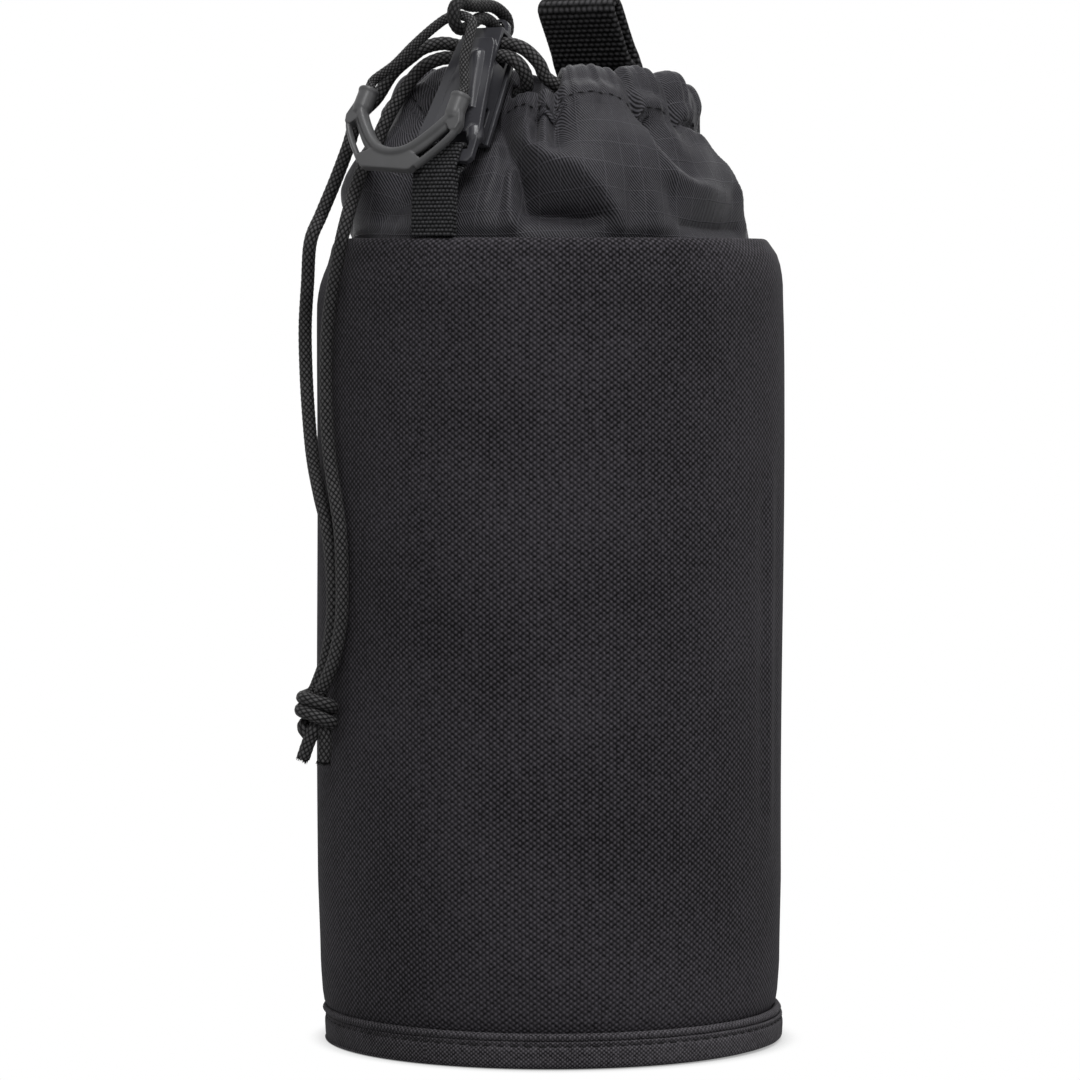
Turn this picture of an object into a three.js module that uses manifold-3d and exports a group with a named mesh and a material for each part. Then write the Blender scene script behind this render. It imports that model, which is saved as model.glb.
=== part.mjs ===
// A padded bottle pouch: a soft insulated sleeve with a drawcord collar, a sprung cord lock with a pull,
// a webbing haul loop and a belt tab. Millimetres, +Z up, the front faces -Y, the origin is the centre of
// the base's underside.
import * as THREE from "three";
import { mergeVertices } from "three/addons/utils/BufferGeometryUtils.js";
import Module from "manifold-3d";

const wasm = await Module();
wasm.setup();

// Driving sizes
const CLEAR = 0.3; // between touching pieces
const SLEEVE_R = 51.2; // outside of the sleeve at mid height
const RIM_Z = 176; // top of the sleeve
const SHELL_T = 1.0;
const FOAM_T = 2.4;
const LINING_T = 0.6;
const FLAP_Z = RIM_Z - 10.7; // lower edge of the shell's turned-in flap
const RIM_ROUND_H = 3.5; // height of the rolled rim
const BINDING_H = 8.0;
const BASE_FABRIC_T = 1.0;
const BASE_BOARD_T = 1.5;
const BASE_FOAM_T = 3.0;
const BINDING_T = 0.9; // under the base
const PIPING_D = 1.9;
const COLLAR_T = 0.8;
const HEM_H = 13.2;
const HEM_WALL = 0.6;
const CORD_D = 3.0;
const PULL_CORD_D = 2.2;
const BODY_STEPS = 40;
const COLLAR_STEPS = 60;
const WAVES = 12;

// Colours, roughness and metalness
const cloth = (name, colour, roughness) => {
  const made = new THREE.MeshStandardMaterial({ color: colour, roughness, metalness: 0 });
  made.name = name;
  return made;
};
const BODY_CLOTH = cloth("body_cloth", 0x2d2b2f, 0.9);
const BAND_CLOTH = cloth("band_cloth", 0x313032, 0.85);
const COLLAR_CLOTH = cloth("collar_cloth", 0x3f3e41, 0.7);
const LINING_CLOTH = cloth("lining_cloth", 0x3a3a3c, 0.85);
const WEBBING = cloth("webbing", 0x2b2b2c, 0.9);
const HAUL_WEBBING = cloth("haul_webbing", 0x141314, 0.95);
const CORD = cloth("cord", 0x272626, 0.8);
const FOAM = cloth("foam", 0x55565a, 1.0);
const BOARD = cloth("board", 0x1c1c1d, 0.6);
const PULL_PLASTIC = cloth("pull_plastic", 0x3c3c3c, 0.45);
const LOCK_PLASTIC = cloth("lock_plastic", 0x38383a, 0.3);
const HOOK_TAPE = cloth("hook_tape", 0x1a1a1b, 1.0);
const SPRING_STEEL = new THREE.MeshStandardMaterial({ color: 0x8c8d90, roughness: 0.3, metalness: 1 });

const DEG = Math.PI / 180;
const mix = (a, b, t) => a + (b - a) * t;
const smooth = (a, b, x) => {
  const t = Math.min(1, Math.max(0, (x - a) / (b - a)));
  return t * t * (3 - 2 * t);
};

// Shared builders

// A piece turned about Z from a closed profile of [radius, height] points.
function turned(profile, steps = BODY_STEPS) {
  const points = profile.map(([r, z]) => new THREE.Vector2(r, z));
  if (THREE.ShapeUtils.area(points) < 0) points.reverse();
  points.push(points[0].clone());
  return new THREE.LatheGeometry(points, steps).rotateX(Math.PI / 2);
}

// A round plate on the axis.
function disc(radius, z0, thickness) {
  return new THREE.CylinderGeometry(radius, radius, thickness, BODY_STEPS)
    .rotateX(Math.PI / 2)
    .translate(0, 0, z0 + thickness / 2);
}

// An outline in the XY plane made into a plate from z0 to z1, with optional holes.
function plate(outline, z0, z1, holes = []) {
  const shape = new THREE.Shape(outline.map(([x, y]) => new THREE.Vector2(x, y)));
  for (const hole of holes) {
    shape.holes.push(new THREE.Path(hole.map(([x, y]) => new THREE.Vector2(x, y))));
  }
  const made = new THREE.ExtrudeGeometry(shape, { depth: z1 - z0, bevelEnabled: false, curveSegments: 6 });
  return made.translate(0, 0, z0);
}

function block(x0, x1, y0, y1, z0, z1) {
  return plate([[x0, y0], [x1, y0], [x1, y1], [x0, y1]], z0, z1);
}

// A side view in the YZ plane, given as [y, z] points, made into a strip from x0 to x1.
function strip(side, x0, x1) {
  // the outline's own X and Y become Y and Z, and its depth becomes X
  const frame = new THREE.Matrix4().set(0, 0, 1, 0, 1, 0, 0, 0, 0, 1, 0, 0, 0, 0, 0, 1);
  return plate(side, x0, x1).applyMatrix4(frame);
}

// A round cord along a smooth curve through the points.
function cordTube(points, diameter, steps, sides = 8) {
  const route = new THREE.CatmullRomCurve3(points.map((p) => new THREE.Vector3(...p)), false, "centripetal");
  const section = new THREE.Shape();
  for (let i = 0; i < sides; i++) {
    const a = (i / sides) * 2 * Math.PI;
    const corner = [(Math.cos(a) * diameter) / 2, (Math.sin(a) * diameter) / 2];
    if (i === 0) section.moveTo(...corner);
    else section.lineTo(...corner);
  }
  return new THREE.ExtrudeGeometry(section, { steps, extrudePath: route, bevelEnabled: false });
}

// A skin over rings of points, all with the same count: closed on itself, or open with flat ends.
function loft(rings, closed) {
  const count = rings[0].length;
  const corners = rings.flat().flatMap((p) => [p.x, p.y, p.z]);
  const faces = [];
  const spans = closed ? rings.length : rings.length - 1;
  for (let i = 0; i < spans; i++) {
    const here = i * count;
    const next = ((i + 1) % rings.length) * count;
    for (let k = 0; k < count; k++) {
      const k2 = (k + 1) % count;
      faces.push(here + k, next + k, next + k2, here + k, next + k2, here + k2);
    }
  }
  if (!closed) {
    const last = (rings.length - 1) * count;
    const flat = sectionOf(rings[0]);
    const clockwise = THREE.ShapeUtils.area(flat) < 0;
    for (const [a, b, c] of THREE.ShapeUtils.triangulateShape(flat, [])) {
      const face = clockwise ? [a, c, b] : [a, b, c];
      faces.push(...face, ...face.reverse().map((k) => last + k));
    }
  }
  const made = new THREE.BufferGeometry();
  made.setAttribute("position", new THREE.Float32BufferAttribute(corners, 3));
  made.setIndex(faces);
  made.computeVertexNormals();
  return made;
}

// The points of a ring that stands on the axis, seen in its own plane.
function sectionOf(ring) {
  return ring.map((p) => new THREE.Vector2(Math.hypot(p.x, p.y), p.z));
}

// Cutting and joining of closed meshes
function solid(geometry) {
  const bare = geometry.clone();
  bare.deleteAttribute("normal");
  bare.deleteAttribute("uv");
  const merged = mergeVertices(bare, 1e-4);
  return new wasm.Manifold(
    new wasm.Mesh({
      numProp: 3,
      vertProperties: new Float32Array(merged.attributes.position.array),
      triVerts: new Uint32Array(merged.index.array),
    }),
  );
}

function surface(manifold) {
  const mesh = manifold.getMesh();
  const made = new THREE.BufferGeometry();
  made.setAttribute("position", new THREE.Float32BufferAttribute(mesh.vertProperties, 3));
  made.setIndex(Array.from(mesh.triVerts));
  made.computeVertexNormals();
  return made;
}

const joined = (...parts) => surface(parts.map(solid).reduce((all, one) => all.add(one)));

function cut(body, ...tools) {
  return surface(tools.map(solid).reduce((left, tool) => left.subtract(tool), solid(body)));
}

const pouch = new THREE.Group();
const add = (name, geometry, material, parent = pouch) => {
  const mesh = new THREE.Mesh(geometry, material);
  mesh.name = name;
  parent.add(mesh);
  return mesh;
};

// Sleeve wall: shell, foam and lining, from outside to inside

// How far the sleeve's outside lies within SLEEVE_R at each height.
const TUCK_IN = 2.2; // the shell steps in under the binding band
const TUCK_Z = BINDING_H + PIPING_D;
const WAIST = [
  [TUCK_Z + 1.5, 1.2],
  [TUCK_Z + 10, 0.5],
  [TUCK_Z + 30, 0],
  [RIM_Z - 26, 0],
  [RIM_Z - RIM_ROUND_H, 0.2],
];
const WALL_Z0 = BINDING_T + 1.7;
const BASE_BOARD_Z = Math.max(BASE_FABRIC_T, BINDING_T) + CLEAR;
const BASE_FOAM_Z = BASE_BOARD_Z + BASE_BOARD_T + CLEAR;
const BASE_LINING_Z = BASE_FOAM_Z + BASE_FOAM_T + CLEAR;
const LINING_Z0 = BASE_LINING_Z + LINING_T + CLEAR;
const LINING_INSET = SHELL_T + FOAM_T + 2 * CLEAR;
const RIM_R = SLEEVE_R - WAIST[WAIST.length - 1][1];
const FLAP_R = RIM_R - LINING_INSET; // outside of the turned-in flap
const TUCK_R = SLEEVE_R - TUCK_IN;

// Profile points of a layer that lies in from the sleeve's outside.
const layerUp = (inset) => [
  [TUCK_R - inset, TUCK_Z],
  ...WAIST.map(([z, within]) => [SLEEVE_R - within - inset, z]),
];

// The rolled rim: half an ellipse from the outer wall over to the flap.
function rimArc(outer, inner, top, height, steps) {
  const centre = (outer + inner) / 2;
  const half = (outer - inner) / 2;
  return Array.from({ length: steps + 1 }, (_, i) => {
    const a = (i / steps) * Math.PI;
    return [centre + half * Math.cos(a), top - height + height * Math.sin(a)];
  });
}

function outerShell() {
  const inner = SHELL_T;
  const profile = [
    [TUCK_R - inner, WALL_Z0],
    [TUCK_R, WALL_Z0],
    ...layerUp(0),
    ...rimArc(RIM_R, FLAP_R - SHELL_T, RIM_Z, RIM_ROUND_H, 6).slice(1),
    [FLAP_R - SHELL_T, FLAP_Z],
    [FLAP_R, FLAP_Z],
    ...rimArc(RIM_R - inner, FLAP_R, RIM_Z - SHELL_T, RIM_ROUND_H - SHELL_T, 4).reverse(),
    ...layerUp(inner).slice(0, -1).reverse(),
  ];
  return turned(profile);
}

const FOAM_DROP = 1.6; // the foam's top edge below the rolled rim
const FOAM_EDGE = 0.6; // its worn corners
function foamWall() {
  const outer = SHELL_T + CLEAR;
  const inner = outer + FOAM_T;
  const top = RIM_Z - SHELL_T - CLEAR - FOAM_DROP;
  const profile = [
    [TUCK_R - inner, BASE_FOAM_Z],
    [TUCK_R - outer, BASE_FOAM_Z],
    ...layerUp(outer),
    [RIM_R - outer - FOAM_EDGE, top],
    [RIM_R - inner + FOAM_EDGE, top],
    ...layerUp(inner).reverse(),
  ];
  return turned(profile);
}

function innerLining() {
  const top = FLAP_Z - CLEAR;
  const inner = LINING_INSET + LINING_T;
  const heights = [...WAIST.slice(0, -1), [top, 0.1]];
  const up = (inset) => [
    [TUCK_R - inset, LINING_Z0],
    [TUCK_R - inset, TUCK_Z],
    ...heights.map(([z, within]) => [SLEEVE_R - within - inset, z]),
  ];
  return turned([...up(LINING_INSET), ...up(inner).reverse()]);
}

add("outer_shell", outerShell(), BODY_CLOTH);
add("foam_wall", foamWall(), FOAM);
add("inner_lining", innerLining(), LINING_CLOTH);

// Base: fabric disc, stiffener board, foam and lining, bound round the edge
const BINDING_FOOT_R = TUCK_R - 5; // inner edge of the binding under the base
const BINDING_IN = TUCK_R + CLEAR;
const BINDING_OUT = BINDING_IN + 1.3;
const BOARD_FIT = 0.5; // between the board's edge and the shell

function baseBinding() {
  const outer = BINDING_OUT;
  const profile = [
    [BINDING_FOOT_R, 0],
    [outer - 2.1, 0],
    [outer - 1.15, 0.45],
    [outer - 0.55, 1.4],
    [outer, BINDING_H / 2],
    [outer - 0.1, BINDING_H],
    [BINDING_IN, BINDING_H],
    [BINDING_IN, BINDING_T + 1.3],
    [BINDING_IN - 1.1, BINDING_T],
    [BINDING_FOOT_R, BINDING_T],
  ];
  return turned(profile);
}

function basePiping() {
  const centre = BINDING_IN + PIPING_D / 2 + 0.05;
  const z = BINDING_H + CLEAR + PIPING_D / 2;
  const section = Array.from({ length: 6 }, (_, i) => {
    const a = (i / 6) * 2 * Math.PI;
    return [centre + (PIPING_D / 2) * Math.cos(a), z + (PIPING_D / 2) * Math.sin(a)];
  });
  return turned(section);
}

add("base_fabric", disc(BINDING_FOOT_R - CLEAR, 0, BASE_FABRIC_T), BODY_CLOTH);
add("base_board", disc(TUCK_R - SHELL_T - BOARD_FIT, BASE_BOARD_Z, BASE_BOARD_T), BOARD);
add("base_foam", disc(TUCK_R - LINING_INSET, BASE_FOAM_Z, BASE_FOAM_T), FOAM);
add("base_lining", disc(TUCK_R - LINING_INSET - CLEAR, BASE_LINING_Z, LINING_T), LINING_CLOTH);
add("base_binding", baseBinding(), BAND_CLOTH);
add("base_piping", basePiping(), BAND_CLOTH);

// Collar: a thin gathered sleeve of light fabric that domes in over the mouth.
// The side views are mid-surface points [distance out from the skirt, height above the rim], from the skirt
// sewn inside the rim to the hem's lips and then the hem's top. Azimuth 0 is the front, and grows towards +X.
const SKIRT_R = FLAP_R - SHELL_T - CLEAR - COLLAR_T / 2 - 0.2;
const SKIRT = [[0, -9], [0, -4], [0, -0.5]];
const REAR_SIDE = [...SKIRT, [-0.2, 2.5], [-2.2, 7.5], [-5.1, 13], [-8.7, 18.4], [-12.3, 24], [-18.6, 36.5]];
const BACK_SIDE = [...SKIRT, [-0.5, 2.5], [-3.1, 7.5], [-6.7, 13], [-10.7, 18.4], [-15.1, 24], [-22.6, 35.5]];
const LEFT_SIDE = [...SKIRT, [1, 2.5], [0.3, 7], [-2.3, 12.5], [-5.9, 18.5], [-10.1, 25], [-19.1, 36]];
const CAMERA_SIDE = [...SKIRT, [1.2, 2.5], [0.7, 6.5], [-1.6, 14], [-5.6, 21], [-12.1, 29.5], [-25.1, 34.5]];
const LOCK_SIDE = [...SKIRT, [0.2, 2.5], [-1.6, 7], [-6.1, 13], [-11.6, 19], [-17.3, 25.5], [-26.5, 35.5]];

// How much of each side view an azimuth takes.
function sideWeights(azimuth) {
  const a = ((azimuth + 540) % 360) - 180;
  const lock = 1 - smooth(14, 32, Math.abs(a));
  const camera = smooth(-62, -30, a) * (1 - smooth(45, 95, a));
  const left = smooth(-125, -85, a) * (1 - smooth(-62, -30, a));
  const back = smooth(140, 160, Math.abs(a));
  const rear = 1 - camera - left - back;
  return { lock, camera: camera * (1 - lock), left: left * (1 - lock), back, rear: rear * (1 - lock) };
}

function collarSide(azimuth) {
  const w = sideWeights(azimuth);
  return REAR_SIDE.map((_, k) => {
    const blend = (i) =>
      w.rear * REAR_SIDE[k][i] +
      w.back * BACK_SIDE[k][i] +
      w.left * LEFT_SIDE[k][i] +
      w.camera * CAMERA_SIDE[k][i] +
      w.lock * LOCK_SIDE[k][i];
    return [SKIRT_R + blend(0), RIM_Z + blend(1)];
  });
}

// Gathers: ripples that grow up the collar, and lie flat behind the lock and under the haul strap.
const RIPPLE = [0, 0, 0, 0.1, 0.5, 1.0, 1.3, 0.5, 0.5];
const LIP = RIPPLE.length - 2; // the side view's point at the hem's lips
function ripple(azimuth, k) {
  const a = ((azimuth + 540) % 360) - 180;
  const flat = smooth(12, 34, Math.abs(a)) * (1 - smooth(140, 158, Math.abs(a)));
  return RIPPLE[k] * flat * Math.cos(WAVES * azimuth * DEG);
}

// The place of the hem at an azimuth: its lips, its direction up and its outward normal, as [radius, height].
function hemFrame(azimuth) {
  const side = collarSide(azimuth);
  const [lips, top] = side.slice(LIP);
  const length = Math.hypot(top[0] - lips[0], top[1] - lips[1]);
  const up = [(top[0] - lips[0]) / length, (top[1] - lips[1]) / length];
  return { lips: [lips[0] + ripple(azimuth, LIP), lips[1]], up, out: [up[1], -up[0]] };
}

const at = (azimuth, r, z) => new THREE.Vector3(r * Math.sin(azimuth * DEG), -r * Math.cos(azimuth * DEG), z);

function hemPoint(azimuth, along, outward) {
  const { lips, up, out } = hemFrame(azimuth);
  return at(azimuth, lips[0] + along * up[0] + outward * out[0], lips[1] + along * up[1] + outward * out[1]);
}

const LIP_TUCK = 0.8; // how far the collar's edge reaches into the hem

function collarRing(azimuth) {
  const side = collarSide(azimuth).slice(0, LIP + 1);
  const { up } = hemFrame(azimuth);
  const middle = side.map(([r, z], k) => [r + ripple(azimuth, k), z]);
  const last = middle[middle.length - 1];
  middle.push([last[0] + LIP_TUCK * up[0], last[1] + LIP_TUCK * up[1]]);
  const skin = (outward) =>
    middle.map(([r, z], k) => {
      const before = middle[Math.max(0, k - 1)];
      const after = middle[Math.min(middle.length - 1, k + 1)];
      const d = Math.hypot(after[0] - before[0], after[1] - before[1]);
      const normal = [(after[1] - before[1]) / d, -(after[0] - before[0]) / d];
      return at(azimuth, r + outward * normal[0], z + outward * normal[1]);
    });
  return [...skin(COLLAR_T / 2), ...skin(-COLLAR_T / 2).reverse()];
}

// The hem's section, as [along, outward] points: a folded tunnel round the cord, open at its lips.
const HEM_IN = CORD_D / 2 + CLEAR + 1.1; // inner half width of the tunnel
const LIP_HALF = COLLAR_T / 2 + CLEAR + 0.05;
const LIP_UP = 0.3; // the lips' own start above the collar's last side-view point
const HEM_FULL = 4.0; // where the tunnel is widest
const HEM_CROWN = 1.6; // height of its rounded top
function hemSection() {
  const half = (widest, lip, top) => [
    [LIP_UP, lip],
    [HEM_FULL, widest],
    [top - HEM_CROWN, widest * 0.85],
  ];
  const mirrored = (points) => points.map(([a, b]) => [a, -b]).reverse();
  const outer = half(HEM_IN + HEM_WALL, LIP_HALF + HEM_WALL, HEM_H);
  const inner = half(HEM_IN, LIP_HALF, HEM_H - HEM_WALL);
  const outside = [...outer, [HEM_H, 0], ...mirrored(outer)];
  const inside = [...inner, [HEM_H - HEM_WALL, 0], ...mirrored(inner)];
  return [...outside, ...inside.reverse()];
}

const HEM_GAP = [12, 36]; // azimuths of the hem's cord opening, beside the lock
function collarHem() {
  const section = hemSection();
  const sweep = 360 - (HEM_GAP[1] - HEM_GAP[0]);
  const steps = Math.round((COLLAR_STEPS * sweep) / 360);
  const rings = Array.from({ length: steps + 1 }, (_, i) => {
    const azimuth = HEM_GAP[1] + (sweep * i) / steps;
    return section.map(([a, b]) => hemPoint(azimuth, a, b));
  });
  return loft(rings, false);
}

function collar() {
  const rings = Array.from({ length: COLLAR_STEPS }, (_, i) => collarRing((360 * i) / COLLAR_STEPS));
  return loft(rings, true);
}

add("collar", collar(), COLLAR_CLOTH);
add("collar_hem", collarHem(), COLLAR_CLOTH);

// Cord lock: leans back over the dome. In its own frame X runs across, Y up along it and Z out of its front.
// Its origin is midway between the two cords that run through it.
const LOCK_X = 1.0;
const LOCK_Y = 16.8 - SKIRT_R;
const LOCK_Z = RIM_Z + 40;
const LOCK_LEAN = 29 * DEG; // from upright
const CORD_STEP = CORD_D / 2 + 0.05; // each cord's distance from the origin
const lock = new THREE.Group();
lock.position.set(LOCK_X, LOCK_Y, LOCK_Z);
lock.rotation.x = Math.PI / 2 - LOCK_LEAN;
pouch.add(lock);
lock.updateMatrixWorld(true);
const onLock = (x, y, z) => new THREE.Vector3(x, y, z).applyMatrix4(lock.matrixWorld);
const byLock = ([x, y, z]) => [LOCK_X + x, LOCK_Y + y, LOCK_Z + z];

const CAVITY_X = 3.7; // half width of the slider's channel
const WALL_X = CAVITY_X + 1.3;
const FRONT_IN = CORD_D / 2 + 0.7; // inner face of the front plate
const FRONT_T = 1.5;
const SLIDER_T = 1.1;
const SLIDER_BACK = -CORD_D / 2 - 0.4 - SLIDER_T;
const WINDOW = CORD_STEP + CORD_D / 2 + 0.35; // half height of the cords' window
const HEAD = [1.0, WINDOW + 1.0]; // the lip over the window
const ANVIL_END = -WINDOW - 9.1; // the spring's upper seat
const FOOT_T = 1.3;
const SPRING_ROOM = 6.1;
const FOOT = [ANVIL_END - SPRING_ROOM - FOOT_T, ANVIL_END - SPRING_ROOM];
const BARREL_END = FOOT[0] - 1.6;
const LOCK_WEB_W = 10.6;
const SLOT_X = LOCK_WEB_W / 2 + 0.6; // half width of the webbing's slot
const SLOT_H = 4.3;
const SLOT_TOP = BARREL_END - 0.5;
const SLOT_BOTTOM = SLOT_TOP - SLOT_H;
const BAR_END = SLOT_BOTTOM - 3;
const FRAME_X = SLOT_X + 1.7;
const SHARE = 0.4; // how far joined pieces run into each other
const SPRING_TURNS = 5;
const SPRING_R = 1.35;
const SPRING_WIRE = 0.5;
const SPRING_Z = 0.2;

// The front plate's right edge, from its top down to the webbing's frame.
const FRONT_EDGE = [
  [3.9, 1.2],
  [4.7, -0.2],
  [5.6, -7],
  [7.0, -18],
  [FRAME_X, SLOT_TOP],
  [FRAME_X, BAR_END + 1],
  [FRAME_X - 1, BAR_END],
];

function lockHousing() {
  const mirrored = FRONT_EDGE.map(([x, y]) => [-x, y]);
  const slot = [[-SLOT_X, SLOT_BOTTOM], [SLOT_X, SLOT_BOTTOM], [SLOT_X, SLOT_TOP], [-SLOT_X, SLOT_TOP]];
  const front = plate([...mirrored, ...FRONT_EDGE.toReversed()], FRONT_IN, FRONT_IN + FRONT_T, [slot]);
  const z1 = FRONT_IN + SHARE;
  const right = block(CAVITY_X, WALL_X, BARREL_END, HEAD[1], SLIDER_BACK, z1);
  const left = block(-WALL_X, -CAVITY_X, BARREL_END, HEAD[1], SLIDER_BACK, z1);
  const head = block(-WALL_X, WALL_X, HEAD[0], HEAD[1], FRONT_IN, z1);
  const foot = block(-WALL_X, WALL_X, BARREL_END, FOOT[0] - CLEAR, SLIDER_BACK, z1);
  const anvilBack = SLIDER_BACK + SLIDER_T + CLEAR;
  const anvil = block(-CAVITY_X - SHARE / 2, CAVITY_X + SHARE / 2, ANVIL_END, -WINDOW, anvilBack, z1);
  const body = joined(front, right, left, head, foot, anvil);
  const through = WALL_X + 1;
  const channel = CORD_D / 2 + CLEAR;
  const cordWindow = block(-through, through, -WINDOW, WINDOW, -channel, channel);
  const spring = SPRING_R + SPRING_WIRE / 2 - 0.1;
  const low = SPRING_Z - spring;
  const springWindow = block(-through, through, FOOT[1] + CLEAR, ANVIL_END - 1.5, low, SPRING_Z + spring);
  return cut(body, cordWindow, springWindow);
}

const BACK_T = 1.2;
const BACK_TOP = WINDOW + 0.2;
function lockBackPlate() {
  const z1 = SLIDER_BACK - CLEAR;
  const half = WALL_X + 0.6;
  const right = [[half, BARREL_END], [half, -2], [WALL_X, BACK_TOP]];
  const left = right.map(([x, y]) => [-x, y]).reverse();
  return plate([...right, ...left], z1 - BACK_T, z1);
}

const JAW_T = 0.8;
const LEASH_D = 2.8;
const EYE_R = LEASH_D / 2 + 0.6;
const EYE_Y = WINDOW + JAW_T + 0.4 + EYE_R; // middle of the slider's eye
const EAR = [3.2, 2.7]; // the tab round the eye: half width and height above its middle
function lockSlider() {
  const half = CAVITY_X - CLEAR;
  const z0 = SLIDER_BACK;
  const z1 = SLIDER_BACK + SLIDER_T;
  const tab = Array.from({ length: 9 }, (_, i) => {
    const a = (i / 8) * Math.PI;
    return [EAR[0] * Math.cos(a), EYE_Y + EAR[1] * Math.sin(a)];
  });
  const rear = plate([[-half, FOOT[0]], [half, FOOT[0]], [half, WINDOW], ...tab, [-half, WINDOW]], z0, z1);
  const jaw = block(-half, half, WINDOW, WINDOW + JAW_T, z0, FRONT_IN - CLEAR);
  const foot = block(-half, half, FOOT[0], FOOT[1], z0, FRONT_IN - CLEAR);
  const eye = new THREE.CylinderGeometry(EYE_R, EYE_R, 3 * SLIDER_T, 12)
    .rotateX(Math.PI / 2)
    .translate(0, EYE_Y, (z0 + z1) / 2);
  return cut(joined(rear, jaw, foot), eye);
}

function lockSpring() {
  const y0 = FOOT[1] + CLEAR + SPRING_WIRE / 2;
  const y1 = ANVIL_END - CLEAR - SPRING_WIRE / 2;
  const stepsPerTurn = 8;
  const points = Array.from({ length: SPRING_TURNS * stepsPerTurn + 1 }, (_, i) => {
    const a = (i / stepsPerTurn) * 2 * Math.PI;
    const y = mix(y0, y1, i / (SPRING_TURNS * stepsPerTurn));
    return [SPRING_R * Math.cos(a), y, SPRING_Z + SPRING_R * Math.sin(a)];
  });
  return cordTube(points, SPRING_WIRE, SPRING_TURNS * stepsPerTurn, 5);
}

add("lock_housing", lockHousing(), LOCK_PLASTIC, lock);
add("lock_back_plate", lockBackPlate(), LOCK_PLASTIC, lock);
add("lock_slider", lockSlider(), LOCK_PLASTIC, lock);
add("lock_spring", lockSpring(), SPRING_STEEL, lock);

// Webbing that ties the lock to the rim: a loop round the lock's bar with both plies sewn down to the rim.
const WEB_PLY = 1.2;
function lockWebbing() {
  const barY = (BAR_END + SLOT_BOTTOM) / 2;
  const barZ = FRONT_IN + FRONT_T / 2;
  const halfLong = (SLOT_BOTTOM - BAR_END) / 2 + CLEAR;
  const halfDeep = FRONT_T / 2 + CLEAR;
  const corner = (dy, dz) => {
    const p = onLock(0, barY + dy, barZ + dz);
    return [p.y, p.z];
  };
  const out = WEB_PLY;
  const rimY = -(RIM_R + FLAP_R - SHELL_T) / 2;
  const foot = RIM_Z + CLEAR;
  const outer = [
    [rimY - WEB_PLY, foot],
    [rimY + WEB_PLY, foot],
    corner(-halfLong - out - 0.6, -halfDeep - out * 0.2),
    corner(-halfLong + 0.4, -halfDeep - out),
    corner(halfLong - 0.4, -halfDeep - out),
    corner(halfLong + out * 0.8, -halfDeep + 0.2),
    corner(halfLong + out * 0.8, halfDeep - 0.2),
    corner(halfLong - 0.4, halfDeep + out),
    corner(-halfLong + 0.4, halfDeep + out),
    corner(-halfLong - out - 0.6, halfDeep + out * 0.2),
  ];
  const hole = [
    corner(-halfLong, -halfDeep),
    corner(halfLong, -halfDeep),
    corner(halfLong, halfDeep),
    corner(-halfLong, halfDeep),
  ];
  const x0 = LOCK_X - LOCK_WEB_W / 2;
  return cut(strip(outer, x0, x0 + LOCK_WEB_W), strip(hole, x0 - 1, x0 + LOCK_WEB_W + 1));
}
add("lock_webbing", lockWebbing(), WEBBING);

// Drawcord: one cord whose loop runs round inside the hem and whose ends pass through the lock to the left.
const LOCK_LEFT = LOCK_X - WALL_X - 0.2;
const LOCK_RIGHT = LOCK_X + WALL_X + 1.5;
const HEM_CORD = 6.8; // height of the cord within the hem
const UPPER = onLock(0, CORD_STEP, 0);
const LOWER = onLock(0, -CORD_STEP, 0);

// From the lock into the hem and back out, as distances from the lock's origin
const INTO_HEM = [
  [9.6, 1.3, 0.2],
  [12, 3.1, -2.8],
  [12.8, 4.7, -5.8],
];
const OUT_OF_HEM = [
  [6, 4.6, -9.2],
  [8.4, 3.5, -8],
  [9.8, 1.4, -5.6],
  [9.2, -0.4, -3],
];

function drawcordLoop() {
  const inHem = [];
  const first = HEM_GAP[1] + 5;
  const last = HEM_GAP[0] + 360;
  for (let i = 0; i <= 24; i++) {
    const p = hemPoint(mix(first, last, i / 24), HEM_CORD, 0);
    inHem.push([p.x, p.y, p.z]);
  }
  const points = [
    [LOCK_LEFT, UPPER.y, UPPER.z],
    [LOCK_X, UPPER.y, UPPER.z],
    [LOCK_RIGHT, UPPER.y, UPPER.z],
    ...INTO_HEM.map(byLock),
    ...inHem,
    ...OUT_OF_HEM.map(byLock),
    [LOCK_RIGHT, LOWER.y, LOWER.z],
    [LOCK_X, LOWER.y, LOWER.z],
    [LOCK_LEFT, LOWER.y, LOWER.z],
  ];
  return cordTube(points, CORD_D, 70);
}
add("drawcord_loop", drawcordLoop(), CORD);

// The drawcord's free ends, which hang down the left of the sleeve to one knot.
const STRAND_A = [
  [LOCK_LEFT - CLEAR, UPPER.y, UPPER.z],
  [LOCK_LEFT - CLEAR - 1.5, UPPER.y, UPPER.z],
  [-8.9, -29.0, 217.9],
  [-12.9, -30.6, 217.0],
  [-15.8, -30.8, 215.3],
  [-20.9, -30.8, 211.7],
  [-25.0, -31.0, 206.4],
  [-29.5, -31.4, 202.2],
  [-32.4, -31.2, 195.7],
  [-35.6, -31.4, 188.5],
  [-38.4, -32.8, 181.1],
  [-38.9, -36.0, 175.7],
  [-40.5, -35.0, 166.1],
  [-42.8, -32.6, 157.0],
  [-42.8, -32.4, 148.4],
  [-40.6, -34.6, 138.0],
  [-37.2, -37.9, 128.3],
  [-32.6, -41.9, 120.3],
  [-28.8, -44.6, 113.5],
  [-26.6, -46.0, 103.8],
  [-26.6, -46.0, 93.4],
  [-28.6, -45.6, 85.0],
  [-31.0, -45.8, 79.0],
];
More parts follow.
